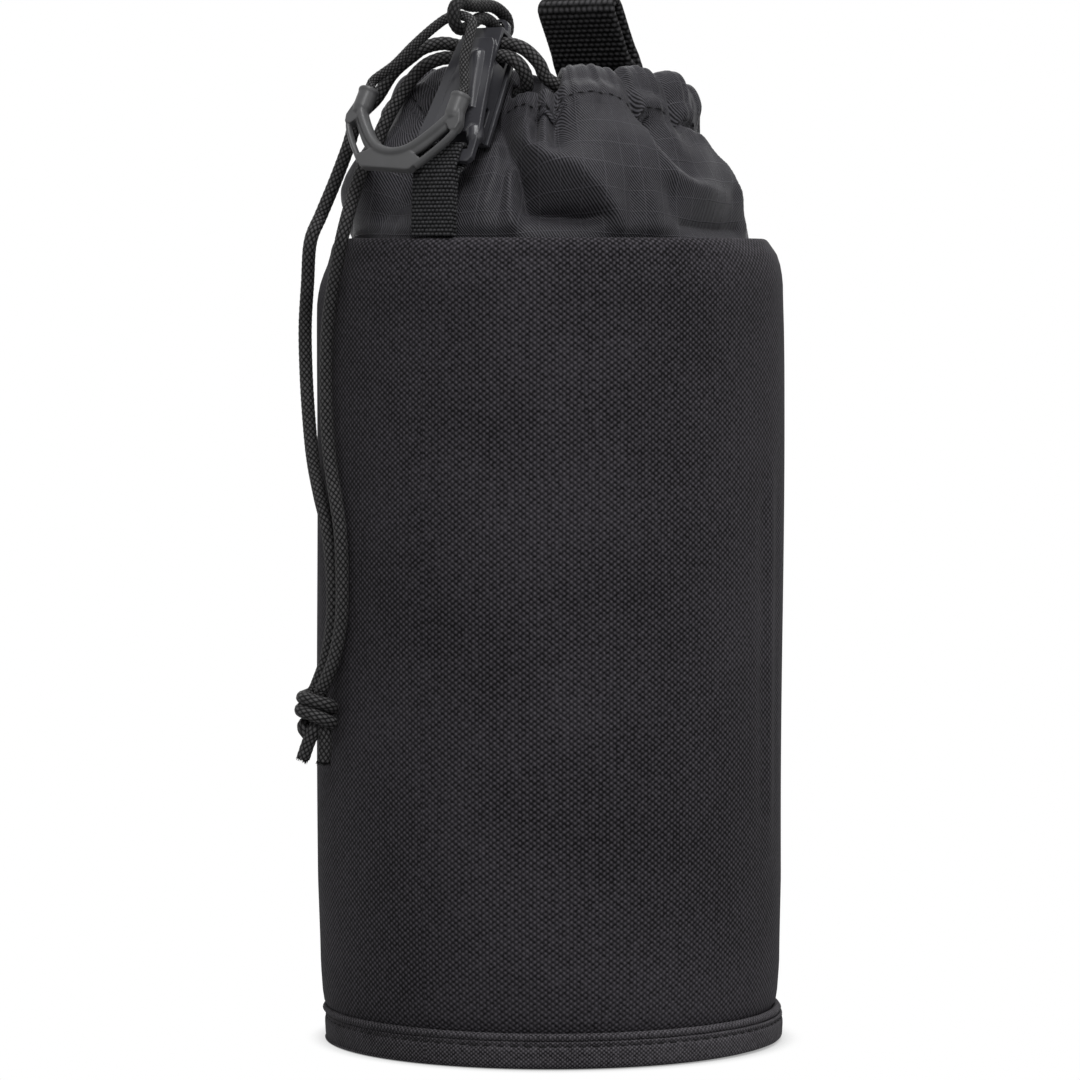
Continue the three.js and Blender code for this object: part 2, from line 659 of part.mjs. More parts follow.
const STRAND_B = [
  [LOCK_LEFT - CLEAR, LOWER.y, LOWER.z],
  [LOCK_LEFT - CLEAR - 1.5, LOWER.y, LOWER.z],
  [-8.2, -29.8, 214.7],
  [-11.0, -30.9, 213.8],
  [-13.6, -31.2, 212.2],
  [-16.5, -32.4, 208.4],
  [-18.8, -34.3, 203.6],
  [-20.0, -35.9, 199.9],
  [-20.8, -38.0, 195.5],
  [-21.8, -40.8, 191.2],
  [-22.2, -44.4, 184.6],
  [-22.4, -48.0, 176.4],
  [-24.9, -46.9, 168.9],
  [-27.9, -45.2, 159.2],
  [-29.2, -44.4, 148.7],
  [-29.0, -44.5, 138.3],
  [-27.6, -45.4, 128.6],
  [-25.2, -46.8, 120.5],
  [-23.4, -47.7, 113.6],
  [-22.6, -48.1, 104.0],
  [-22.8, -48.2, 93.6],
  [-24.8, -48.2, 85.0],
  [-27.8, -48.2, 78.9],
];
const KNOT = [-29.4, -47.6, 73.6];
const KNOT_R = [4.5, 4.5, 4.8];
const TAILS = [
  [[-31.2, -46.4, 72.5], [-32.4, -45.4, 69.0], [-33.0, -44.6, 65.2]],
  [[-28.2, -48.0, 72.5], [-27.4, -48.4, 69.0], [-26.8, -48.4, 64.8]],
];

function drawcordKnot() {
  const ball = new THREE.SphereGeometry(1, 14, 10).rotateX(Math.PI / 2).scale(...KNOT_R).translate(...KNOT);
  return joined(ball, ...TAILS.map((route) => cordTube(route, CORD_D, 4)));
}
add("drawcord_strand_a", cordTube(STRAND_A, CORD_D, 40), CORD);
add("drawcord_strand_b", cordTube(STRAND_B, CORD_D, 40), CORD);
add("drawcord_knot", drawcordKnot(), CORD);

// Leash: a small cord loop through the slider's eye that carries the pull.
const LEASH_MID = SLIDER_BACK + SLIDER_T / 2;
function leashLoop() {
  // points in the lock's side view: along it and out of its front
  const outline = [
    [EYE_Y, LEASH_MID],
    [EYE_Y + 0.1, LEASH_MID - 2.6],
    [EYE_Y + 2.4, LEASH_MID - 4.2],
    [EYE_Y + 5.0, LEASH_MID - 2.6],
    [EYE_Y + 5.2, LEASH_MID + 1.6],
    [8.6, 5.0],
    [5.6, 10.6],
    [3.1, 14.7],
    [0.2, 15.3],
    [-1.8, 12.8],
    [-0.2, 8.8],
    [5.3, 4.8],
    [6.8, 1.0],
  ];
  const route = new THREE.CatmullRomCurve3(
    outline.map(([along, out]) => onLock(0, along, out)),
    true,
    "centripetal",
  );
  const rings = [];
  const steps = 28;
  for (let i = 0; i < steps; i++) {
    const p = route.getPointAt(i / steps);
    const t = route.getTangentAt(i / steps);
    const side = new THREE.Vector3(1, 0, 0);
    const up = new THREE.Vector3().crossVectors(t, side);
    rings.push(
      Array.from({ length: 8 }, (_, k) => {
        const a = (k / 8) * 2 * Math.PI;
        const ring = p.clone();
        ring.addScaledVector(side, (LEASH_D / 2) * Math.cos(a));
        return ring.addScaledVector(up, (-LEASH_D / 2) * Math.sin(a));
      }),
    );
  }
  return loft(rings, true);
}
add("leash_loop", leashLoop(), CORD);

// Pull: a moulded stirrup that hangs in front of the lock on a thin cord over the leash.
const PULL_T = 3.5;
// the grip's middle plane, in the lock's frame, clear of the webbing round the lock's bar
const PULL_PLANE = FRONT_IN + FRONT_T + WEB_PLY + 2 * CLEAR + PULL_T / 2;
const PULL_TILT = -4.5 * DEG;
const SOCKET_BORE = PULL_CORD_D / 2 + CLEAR;
const SOCKET_R = SOCKET_BORE + 0.75;
const SOCKET_X = 12.1; // each socket's distance from the grip's middle line
const pull = new THREE.Group();
pull.position.copy(onLock(-8.9, -14.4, PULL_PLANE));
pull.rotation.x = Math.PI / 2 - LOCK_LEAN;
pull.rotateZ(PULL_TILT);
pouch.add(pull);
pull.updateMatrixWorld(true);
const onPull = (x, y, z) => new THREE.Vector3(x, y, z).applyMatrix4(pull.matrixWorld);

// In the grip's frame the socket mouths are at y = 0 and the grip hangs down -y.
const GRIP_H = 19;
const SOCKET_H = 5;
const CORD_SEAT = 3; // how deep each end of the cord sits in its socket
function pullGrip() {
  const outer = new THREE.Shape();
  outer.moveTo(-SOCKET_X - 1.9, -1);
  outer.lineTo(-SOCKET_X + 1.9, -1);
  outer.lineTo(-SOCKET_X + 2.0, -5.4);
  outer.bezierCurveTo(-7.4, -11.4, -4.4, -13.6, 0, -13.8);
  outer.bezierCurveTo(4.4, -13.6, 7.4, -11.4, SOCKET_X - 2.0, -5.4);
  outer.lineTo(SOCKET_X - 1.9, -1);
  outer.lineTo(SOCKET_X + 1.9, -1);
  outer.bezierCurveTo(14.6, -8.0, 13.6, -11.0, 6.8, -GRIP_H + 0.6);
  outer.quadraticCurveTo(6.2, -GRIP_H, 5.4, -GRIP_H);
  outer.lineTo(-5.4, -GRIP_H);
  outer.quadraticCurveTo(-6.2, -GRIP_H, -6.8, -GRIP_H + 0.6);
  outer.bezierCurveTo(-13.6, -11.0, -14.6, -8.0, -SOCKET_X - 1.9, -1);
  const slot = (sign) => {
    const corners = [[11.8, -7.6], [12.9, -7.4], [8.6, -14.2], [7.5, -13.4]].map(([x, y]) => [sign * x, y]);
    return plate(sign > 0 ? corners.reverse() : corners, -PULL_T, PULL_T);
  };
  const flat = new THREE.ExtrudeGeometry(outer, {
    depth: PULL_T - 1,
    bevelEnabled: true,
    bevelThickness: 0.5,
    bevelSize: 0.3,
    bevelOffset: -0.3,
    bevelSegments: 1,
    curveSegments: 6,
  }).translate(0, 0, -(PULL_T - 1) / 2);
  const upright = (sign, radius, y0, length, sides) =>
    new THREE.CylinderGeometry(radius, radius, length, sides).translate(sign * SOCKET_X, y0 + length / 2, 0);
  const socket = (sign) => upright(sign, SOCKET_R, -SOCKET_H, SOCKET_H, 12);
  const bore = (sign) => upright(sign, SOCKET_BORE, -CORD_SEAT - 0.5, 2 * SOCKET_H, 10);
  return cut(joined(flat, socket(1), socket(-1)), bore(1), bore(-1), slot(1), slot(-1));
}
add("pull_grip", pullGrip(), PULL_PLASTIC, pull);

// From socket to socket over the leash, as distances from the lock's origin
const OVER_LEASH = [
  [2.9, -12.3, -2.5],
  [3.4, -11.1, 2.5],
  [3.2, -9.8, 5.9],
  [0, -9.2, 7.3],
  [-3.2, -9.1, 6.9],
  [-6.2, -9, 5.4],
  [-11.5, -9.7, 1.3],
  [-15.9, -10.9, -3],
];
const inSocket = (x) => [onPull(x, -CORD_SEAT, 0), onPull(x, 0, 0), onPull(x, 2, 0)].map((p) => p.toArray());
const PULL_CORD = [
  ...inSocket(SOCKET_X),
  ...OVER_LEASH.map(byLock),
  ...inSocket(-SOCKET_X).reverse(),
];
add("pull_cord", cordTube(PULL_CORD, PULL_CORD_D, 30), CORD);

// Haul strap and loop: webbing up the back of the collar, with a folded loop standing at its top.
const HAUL_W = 20;
const HAUL_X = -2.5;
const HAUL_PLY = 1.7;
const STRAP_FOOT = 1.2; // the strap's lower end above the rim
const STRAP_TOP = 10.5; // its upper end along the hem
function haulStrap() {
  const side = collarSide(180).slice(3);
  const { lips, up, out } = hemFrame(180);
  const onHem = (along, outward) => [
    lips[0] + along * up[0] + outward * out[0],
    lips[1] + along * up[1] + outward * out[1],
  ];
  const hemOut = HEM_IN + HEM_WALL + CLEAR;
  const collarOut = COLLAR_T / 2 + CLEAR + 0.5;
  const inner = [
    [side[0][0] + collarOut, RIM_Z + STRAP_FOOT],
    ...side.slice(1, -2).map(([r, z]) => [r + collarOut + 0.2, z + 0.2]),
    onHem(LIP_UP, LIP_HALF + HEM_WALL + CLEAR + 0.6),
    onHem(HEM_FULL, hemOut),
    onHem(STRAP_TOP, hemOut),
  ];
  const outer = inner.map(([r, z], k) => {
    const before = inner[Math.max(0, k - 1)];
    const after = inner[Math.min(inner.length - 1, k + 1)];
    const d = Math.hypot(after[0] - before[0], after[1] - before[1]);
    return [r + (HAUL_PLY * (after[1] - before[1])) / d, z - (HAUL_PLY * (after[0] - before[0])) / d];
  });
  return strip([...inner, ...outer.reverse()], HAUL_X - HAUL_W / 2, HAUL_X + HAUL_W / 2);
}
add("haul_strap", haulStrap(), HAUL_WEBBING);

// The loop's own frame stands at the strap's top and leans forward.
const HAUL_Y = SKIRT_R - 17.5;
const HAUL_Z = RIM_Z + 36.2;
const HAUL_LEAN = 32 * DEG;
const HAUL_H = 20;
const HAUL_GAP = 1.6;
const haul = new THREE.Group();
haul.position.set(HAUL_X, HAUL_Y, HAUL_Z);
haul.rotation.x = HAUL_LEAN;
pouch.add(haul);
function haulLoop() {
  const half = HAUL_GAP / 2 + HAUL_PLY;
  const arc = (radius) =>
    Array.from({ length: 9 }, (_, i) => {
      const a = (i / 8) * Math.PI;
      return [radius * Math.cos(a), HAUL_H - half + radius * Math.sin(a)];
    });
  const outer = [[-half, 4.0], [-1.0, 0.6], [1.0, 0.6], [half, 4.0], ...arc(half)];
  const inner = [[-HAUL_GAP / 2, 4.6], [HAUL_GAP / 2, 4.6], ...arc(HAUL_GAP / 2)];
  return cut(strip(outer, -HAUL_W / 2, HAUL_W / 2), strip(inner, -HAUL_W / 2 - 1, HAUL_W / 2 + 1));
}
add("haul_loop", haulLoop(), HAUL_WEBBING, haul);

// Belt tab: a stiff flap hinged on a sewn anchor high on the back, closed by hook and loop tape.
const TAB_W = 36;
const TAB_TOP = RIM_Z - 16;
const TAB_BOTTOM = TAB_TOP - 108;
const TAB_GAP = 4.6; // for the belt
const TAB_PLY = 1.2;
const TAB_LINING_T = 0.6;
const ANCHOR_H = 14;
const ANCHOR_RISE = 4; // the anchor's top above the tab's
const PATCH_W = 28;
const PATCH_H = 30;
const PATCH_T = 1.2;
const PATCH_Z = TAB_BOTTOM + 4;
const HOOK_W = 26;
const HOOK_H = 27.5;
const HOOK_T = 1.3;
const HOOK_Z = PATCH_Z + 0.5;
const BACK_R = SLEEVE_R + CLEAR; // what is sewn on the sleeve starts here
const TAB_Y = BACK_R + TAB_GAP; // inner face of the tab

// A patch that hugs the sleeve's round back between two heights.
function backPatch(width, z0, z1, r0, thickness) {
  const half = Math.asin(width / 2 / r0);
  const steps = 8;
  const rings = Array.from({ length: steps + 1 }, (_, i) => {
    const a = 180 - mix(-half, half, i / steps) / DEG;
    return [at(a, r0, z0), at(a, r0 + thickness, z0), at(a, r0 + thickness, z1), at(a, r0, z1)];
  });
  return loft(rings.reverse(), false);
}

// The anchor's wedge: flat on its outside, so that the fold lies straight.
function tabAnchor() {
  const top = TAB_TOP + ANCHOR_RISE;
  const wedge = block(-TAB_W / 2, TAB_W / 2, SLEEVE_R * 0.8, TAB_Y - CLEAR, top - ANCHOR_H, top);
  const round = new THREE.CylinderGeometry(BACK_R, BACK_R, 3 * ANCHOR_H, 96)
    .rotateX(Math.PI / 2)
    .translate(0, 0, TAB_TOP);
  return cut(wedge, round);
}
add("tab_anchor", tabAnchor(), WEBBING);
add("tab_loop_patch", backPatch(PATCH_W, PATCH_Z, PATCH_Z + PATCH_H, BACK_R, PATCH_T), HOOK_TAPE);

const TAB_FOLD = TAB_TOP - 1.6; // the tab's own top edge
const TAB_ROUND = 7; // radius of its lower corners
function tabOutline(inset) {
  const half = TAB_W / 2 - inset;
  const top = TAB_FOLD - inset;
  const centre = TAB_BOTTOM + inset + TAB_ROUND;
  const corner = (sign) =>
    Array.from({ length: 5 }, (_, i) => {
      const a = (i / 4) * (Math.PI / 2);
      return [sign * (half - TAB_ROUND + TAB_ROUND * Math.sin(a)), centre - TAB_ROUND * Math.cos(a)];
    });
  return [[half, top], [-half, top], ...corner(-1).reverse(), ...corner(1)];
}

// A flat layer of the tab: its outline is in XZ, and its thickness runs out along +Y.
function tabLayer(outline, y0, thickness) {
  const frame = new THREE.Matrix4().set(1, 0, 0, 0, 0, 0, -1, 0, 0, 1, 0, 0, 0, 0, 0, 1);
  return plate(outline, -y0 - thickness, -y0).applyMatrix4(frame);
}
const HOOK_OUTLINE = [
  [HOOK_W / 2, HOOK_Z],
  [HOOK_W / 2, HOOK_Z + HOOK_H],
  [-HOOK_W / 2, HOOK_Z + HOOK_H],
  [-HOOK_W / 2, HOOK_Z],
];
const STIFFENER_INSET = 2;
const STIFFENER_Y = TAB_Y + TAB_LINING_T + CLEAR;
const WEB_Y = STIFFENER_Y + TAB_PLY + CLEAR;
add("tab_lining", tabLayer(tabOutline(0), TAB_Y, TAB_LINING_T), WEBBING);
add("tab_stiffener", tabLayer(tabOutline(STIFFENER_INSET), STIFFENER_Y, TAB_PLY), BOARD);
add("tab_web", tabLayer(tabOutline(0), WEB_Y, TAB_PLY), WEBBING);
add("tab_hook_patch", tabLayer(HOOK_OUTLINE, TAB_Y - CLEAR - HOOK_T, HOOK_T), HOOK_TAPE);

export default pouch;
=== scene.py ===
# A padded bottle pouch in a studio: woven sleeve, gathered collar, cord lock with a pull, webbing loop.
# Points and sizes are in millimetres in the pouch's own frame, and become metres where a mesh is made.
import math
import random

import bmesh
import bpy
import numpy as np
from mathutils import Matrix, Vector


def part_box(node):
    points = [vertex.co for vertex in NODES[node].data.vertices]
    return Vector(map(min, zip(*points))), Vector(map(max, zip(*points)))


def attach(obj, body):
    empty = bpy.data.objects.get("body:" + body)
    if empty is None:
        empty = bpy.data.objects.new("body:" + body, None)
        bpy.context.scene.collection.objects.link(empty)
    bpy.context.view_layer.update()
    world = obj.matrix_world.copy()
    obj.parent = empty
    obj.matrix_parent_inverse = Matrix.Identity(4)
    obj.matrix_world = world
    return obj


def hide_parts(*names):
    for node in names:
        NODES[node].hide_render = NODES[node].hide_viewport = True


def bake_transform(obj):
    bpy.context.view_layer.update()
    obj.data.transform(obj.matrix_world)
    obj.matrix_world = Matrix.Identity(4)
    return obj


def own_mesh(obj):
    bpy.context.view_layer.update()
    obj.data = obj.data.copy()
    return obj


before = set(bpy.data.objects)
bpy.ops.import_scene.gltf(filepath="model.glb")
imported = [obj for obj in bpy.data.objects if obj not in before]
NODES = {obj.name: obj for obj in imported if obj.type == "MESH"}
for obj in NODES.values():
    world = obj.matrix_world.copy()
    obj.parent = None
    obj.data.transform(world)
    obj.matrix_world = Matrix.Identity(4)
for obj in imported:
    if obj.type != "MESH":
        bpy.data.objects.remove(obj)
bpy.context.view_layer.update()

MM = 0.001
DEG = math.pi / 180


def span(node, axis):
    """Lowest and highest place of a node along x, y or z, in millimetres."""
    low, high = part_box(node)
    return getattr(low, axis) / MM, getattr(high, axis) / MM


def smooth(a, b, x):
    t = np.clip((np.asarray(x, float) - a) / (b - a), 0.0, 1.0)
    return t * t * (3 - 2 * t)


def mix(a, b, t):
    return a + (b - a) * t


def bell(x, centre, width):
    return np.exp(-(((np.asarray(x, float) - centre) / width) ** 2))


# Camera: 1.15 m away, 32 degrees round to the right, a little under the height of the sleeve's rim
CAMERA_AZIMUTH = 32.0
CAMERA_DISTANCE = 1150.0
CAMERA_HEIGHT = 168.0
AIM_DROP = 58.2
AIM_LEFT = 2.2
CAMERA_LENS = 174.3


def linked(name, data):
    """A new object in the scene."""
    made = bpy.data.objects.new(name, data)
    bpy.context.scene.collection.objects.link(made)
    return made


def place_camera():
    a = CAMERA_AZIMUTH * DEG
    place = Vector((math.sin(a) * CAMERA_DISTANCE, -math.cos(a) * CAMERA_DISTANCE, CAMERA_HEIGHT)) * MM
    right = Vector((math.cos(a), math.sin(a), 0))
    aim = Vector((0, 0, CAMERA_HEIGHT - AIM_DROP)) * MM - right * AIM_LEFT * MM
    data = bpy.data.cameras.new("camera")
    data.lens = CAMERA_LENS
    data.sensor_width = 36
    data.clip_end = 20
    camera = linked("camera", data)
    camera.location = place
    camera.rotation_mode = "QUATERNION"
    camera.rotation_quaternion = (aim - place).to_track_quat("-Z", "Y")
    bpy.context.scene.camera = camera


place_camera()


# Meshes


def wear(piece, material):
    piece.data.materials.clear()
    piece.data.materials.append(material)


def dress(piece, body, material, slot, *nodes):
    """Gives a piece its material and its body, and hides the nodes that it stands for. slot is not used."""
    wear(piece, material)
    if nodes:
        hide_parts(*nodes)
    if body:
        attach(piece, body)


def build(name, points, faces, uvs=None):
    """A mesh object from points in millimetres; uvs holds a pair in millimetres for each face corner."""
    mesh = bpy.data.meshes.new(name)
    mesh.from_pydata((np.asarray(points, float) * MM).tolist(), [], faces)
    if uvs is not None:
        layer = mesh.uv_layers.new(name="cut")
        layer.data.foreach_set("uv", (np.asarray(uvs, float) * MM).ravel())
    piece = linked(name, mesh)
    work = bmesh.new()
    work.from_mesh(mesh)
    bmesh.ops.recalc_face_normals(work, faces=work.faces)
    work.to_mesh(mesh)
    work.free()
    mesh.shade_smooth()
    return piece


def lengths_along(points):
    steps = np.linalg.norm(np.diff(points, axis=0), axis=1)
    return np.concatenate([[0.0], np.cumsum(steps)])


def quads(n, m, wrap=True, loop=False, first=0):
    """The faces between n rows of m points. wrap joins each row's ends, loop the last row and the first."""
    faces = []
    for i in range(n if loop else n - 1):
        here, there = first + i * m, first + (i + 1) % n * m
        for j in range(m if wrap else m - 1):
            k = (j + 1) % m
            faces.append((here + j, here + k, there + k, there + j))
    return faces


def skin(name, rows, wrap=False, loop=False, u=None, v=None, caps=False):
    """A surface over rows of points. wrap and loop are as for quads, and caps closes a wrapped surface's
    two open ends. u runs along a row and v across the rows."""
    rows = np.asarray(rows, float)
    n, m = rows.shape[:2]
    if u is None:
        u = lengths_along(np.vstack([rows[n // 2], rows[n // 2][:1]]))
    if v is None:
        v = lengths_along(np.vstack([rows[:, m // 2], rows[:1, m // 2]]))
    faces = quads(n, m, wrap, loop)
    uvs = []
    for i in range(n if loop else n - 1):
        for j in range(m if wrap else m - 1):
            uvs += [(u[j], v[i]), (u[j + 1], v[i]), (u[j + 1], v[i + 1]), (u[j], v[i + 1])]
    if caps:
        for i in (0, n - 1):
            faces.append(tuple(range(i * m, (i + 1) * m)))
            centre = rows[i].mean(0)
            side = rows[i][0] - centre
            side /= np.linalg.norm(side)
            up = rows[i][m // 4] - centre
            up /= np.linalg.norm(up)
            uvs += [((p - centre) @ side, (p - centre) @ up) for p in rows[i]]
    return build(name, rows.reshape(-1, 3), faces, uvs)


def around(azimuth, radius, height):
    """Points at an azimuth that is 0 at the front and grows towards +X."""
    a = np.asarray(azimuth, float) * DEG
    return np.stack(np.broadcast_arrays(radius * np.sin(a), -radius * np.cos(a), height), axis=-1)


def turned(name, profile, steps, shift):
    """A piece turned about Z from a closed profile. shift says how far out each point moves."""
    profile = np.asarray(profile, float)
    radius = np.repeat(profile[:, :1], steps, axis=1)
    height = np.repeat(profile[:, 1:], steps, axis=1)
    azimuth = np.repeat(np.arange(steps)[None] * 360.0 / steps, len(profile), axis=0)
    rows = around(azimuth, radius + shift(azimuth, radius, height), height)
    u = np.linspace(0, 2 * math.pi * profile[:, 0].max(), steps + 1)
    v = lengths_along(np.vstack([profile, profile[:1]]))
    return skin(name, rows, wrap=True, loop=True, u=u, v=v)


def route(points, step, closed=False):
    """Points a step apart on the centripetal Catmull-Rom curve through the given points."""
    points = [np.asarray(p, float) for p in points]
    if closed:
        points = [points[-1], *points, points[0], points[1]]
    else:
        points = [2 * points[0] - points[1], *points, 2 * points[-1] - points[-2]]
    dense = []
    for p in zip(points, points[1:], points[2:], points[3:]):
        k = np.cumsum([0.0, *(max(np.linalg.norm(b - a) ** 0.5, 1e-6) for a, b in zip(p, p[1:]))])
        count = max(4, int(np.linalg.norm(p[2] - p[1]) / step * 2))
        t = np.linspace(k[1], k[2], count, endpoint=False)[:, None]
        thirds = [mix(p[i], p[i + 1], (t - k[i]) / (k[i + 1] - k[i])) for i in range(3)]
        halves = [mix(thirds[i], thirds[i + 1], (t - k[i]) / (k[i + 2] - k[i])) for i in range(2)]
        dense.append(mix(*halves, (t - k[1]) / (k[2] - k[1])))
    dense = np.vstack([*dense, points[-2]])
    total = lengths_along(dense)
    count = max(3, int(round(total[-1] / step)))
    wanted = np.linspace(0, total[-1], count + 1)
    return np.stack([np.interp(wanted, total, dense[:, k]) for k in range(3)], axis=1)


def rings_along(path, radius, sides, closed=False):
    """Rings of points square to a path, turned as little as they can from one to the next."""
    path = np.asarray(path, float)
    ahead = np.gradient(path, axis=0)
    if closed:
        ahead = np.roll(path, -1, axis=0) - np.roll(path, 1, axis=0)
    ahead /= np.linalg.norm(ahead, axis=1, keepdims=True)
    start = np.array([0.0, 0.0, 1.0]) if abs(ahead[0][2]) < 0.8 else np.array([1.0, 0.0, 0.0])
    across = []
    side = np.cross(start, ahead[0])
    for t in ahead:
        side = side - t * (side @ t)
        side /= np.linalg.norm(side)
        across.append(side)
    side = np.array(across)
    up = np.cross(ahead, side)
    a = np.arange(sides) / sides * 2 * math.pi
    if closed:
        # share out the twist that is left where the ring of the last point meets the first
        drift = math.atan2(side[-1] @ up[0], side[-1] @ side[0])
        turn = -drift * np.arange(len(path)) / (len(path) - 1)
        a = a[None] + turn[:, None]
    else:
        a = np.repeat(a[None], len(path), axis=0)
    reach = radius if np.ndim(radius) else np.full(a.shape, radius)
    return path[:, None] + reach[..., None] * (
        np.cos(a)[..., None] * side[:, None] + np.sin(a)[..., None] * up[:, None]
    )


BRAID_STRANDS = 8  # diamonds round a cord
BRAID_STRETCH = 1.25  # a diamond's length along the cord for its width


def braided(name, path, diameter, sides=32, depth=0.13, closed=False):
    """A braided cord along a path: diamonds of thread stand out of its surface."""
    path = np.asarray(path, float)
    along = lengths_along(path)[:, None] / (diameter * math.pi / BRAID_STRANDS * BRAID_STRETCH)
    ring = BRAID_STRANDS * np.arange(sides)[None] / sides
    crown = np.sqrt(np.abs(np.sin(math.pi * (ring + along)) * np.sin(math.pi * (ring - along))))
    rows = rings_along(path, diameter / 2 - depth + depth * crown, sides, closed)
    u = np.linspace(0, 1000, sides + 1)
    v = lengths_along(np.vstack([path, path[:1]]) if closed else path)
    return skin(name, rows, wrap=True, loop=closed, u=u, v=v, caps=not closed)


def joined(name, pieces, node=None):
    """Makes several mesh objects into one, with a node's own solid if it is given."""
    whole = bmesh.new()
    if node:
        whole.from_mesh(NODES[node].data)
        bmesh.ops.remove_doubles(whole, verts=whole.verts, dist=1e-6)
    for piece in pieces:
        whole.from_mesh(piece.data)
    mesh = bpy.data.meshes.new(name)
    whole.to_mesh(mesh)
    whole.free()
    for piece in pieces:
        bpy.data.objects.remove(piece)
    mesh.shade_smooth()
    return linked(name, mesh)


def moulded(name, parts, voxel, rounds, node=None):
    """Melts parts, and a node's own solid, into one moulding with rounded edges and inner corners."""
    made = joined(name, parts, node)
    rough = made.data
    for layer in list(rough.uv_layers):
        rough.uv_layers.remove(layer)
    remesh = made.modifiers.new("remesh", "REMESH")
    remesh.mode = "VOXEL"
    remesh.voxel_size = voxel * MM
    soften = made.modifiers.new("soften", "SMOOTH")
    soften.factor = 0.5
    soften.iterations = rounds
    bpy.context.view_layer.update()
    graph = bpy.context.evaluated_depsgraph_get()
    made.data = bpy.data.meshes.new_from_object(made.evaluated_get(graph))
    made.modifiers.clear()
    bpy.data.meshes.remove(rough)
    made.data.shade_smooth()
    return made


# Materials


def feed(tree, socket, value):
    if isinstance(value, bpy.types.NodeSocket):
        tree.links.new(value, socket)
    else:
        socket.default_value = value


def node_in(tree, kind, inputs=None, **settings):
    made = tree.nodes.new(kind)
    for key, value in settings.items():
        setattr(made, key, value)
    for key, value in (inputs or {}).items():
        feed(tree, made.inputs[key], value)
    return made


class Recipe:
    """One node material. Its sums take numbers and sockets alike."""

    def __init__(self, name, colour, roughness, **sockets):
        self.material = bpy.data.materials.new(name)
        self.material.use_nodes = True
        self.tree = self.material.node_tree
        self.shader = next(n for n in self.tree.nodes if n.type == "BSDF_PRINCIPLED")
        self.shader.inputs["Base Color"].default_value = (*linear(colour), 1)
        self.shader.inputs["Roughness"].default_value = roughness
        for key, value in sockets.items():
            self.shader.inputs[key.replace("_", " ")].default_value = value

    def node(self, kind, inputs=None, **settings):
        return node_in(self.tree, kind, inputs, **settings)

    def feed(self, name, value):
        feed(self.tree, self.shader.inputs[name], value)

    def sum(self, operation, *values):
        return self.node("ShaderNodeMath", dict(enumerate(values)), operation=operation).outputs[0]

    def cut_coordinates(self):
        """The cut's own two coordinates, in millimetres."""
        place = self.node("ShaderNodeUVMap", uv_map="cut")
        parts = self.node("ShaderNodeSeparateXYZ", {0: place.outputs[0]})
        return self.sum("MULTIPLY", parts.outputs[0], 1000.0), self.sum("MULTIPLY", parts.outputs[1], 1000.0)

    def noise(self, scale, detail=2.0, roughness=0.5):
        """Noise from 0 to 1 with scale lumps to the metre."""
        place = self.node("ShaderNodeTexCoord").outputs["Object"]
        inputs = {"Vector": place, "Scale": scale, "Detail": detail, "Roughness": roughness}
        return self.node("ShaderNodeTexNoise", inputs).outputs["Fac"]

    def wave(self, place, pitch):
        """A sine of half period pitch."""
        return self.sum("SINE", self.sum("MULTIPLY", place, math.pi / pitch))

    def colour(self, share, dark, light):
        """The colour from dark to light by a share."""
        inputs = {"Factor": share, "A": (*linear(dark), 1), "B": (*linear(light), 1)}
        made = self.node("ShaderNodeMix", inputs, data_type="RGBA")
        self.feed("Base Color", made.outputs["Result"])

    def bump(self, height, depth, strength=1.0):
        """Raises the surface by height times depth, in millimetres."""
        before = self.shader.inputs["Normal"].links
        inputs = {"Height": height, "Distance": depth * MM, "Strength": strength}
        if before:
            inputs["Normal"] = before[0].from_socket
        self.feed("Normal", self.node("ShaderNodeBump", inputs).outputs[0])


YARN = 1.2  # width of a webbing's yarn as a share of its rib's pitch
STRAP_RIB = 0.83  # pitch of the ribs across each webbing
HAUL_RIB = 1.22
TWILL = 0.31  # half the pitch of the collar's twill


def linear(colour):
    """A display colour from 0 to 255 as linear light."""
    shares = [c / 255 for c in colour]
    return tuple(s / 12.92 if s <= 0.04045 else ((s + 0.055) / 1.055) ** 2.4 for s in shares)


def woven(name, dark, light, across, up, depth, roughness):
    """Plain weave of coarse threads, whose crowns stand staggered, with slubs and faint patches."""
    cloth = Recipe(name, light, roughness, Specular_IOR_Level=0.06, Sheen_Weight=0.03, Sheen_Roughness=0.6)
    u, v = cloth.cut_coordinates()
    column = cloth.wave(u, across)
    crowns = cloth.sum("MULTIPLY_ADD", cloth.sum("MULTIPLY", column, cloth.wave(v, up)), 0.5, 0.5)
    gaps = cloth.sum("MULTIPLY_ADD", cloth.sum("ABSOLUTE", column), 0.55, 0.45)
    height = cloth.sum("MULTIPLY", cloth.sum("POWER", crowns, 1.3), gaps)
    patches = cloth.noise(28.0, 3.0)
    slubs = cloth.noise(1100.0, 2.0, 0.7)
    tone = cloth.sum("MULTIPLY_ADD", slubs, 0.9, cloth.sum("MULTIPLY_ADD", patches, 0.5, -0.7))
    cloth.colour(cloth.sum("ADD", height, tone), dark, light)
    cloth.bump(height, depth)
    return cloth.material


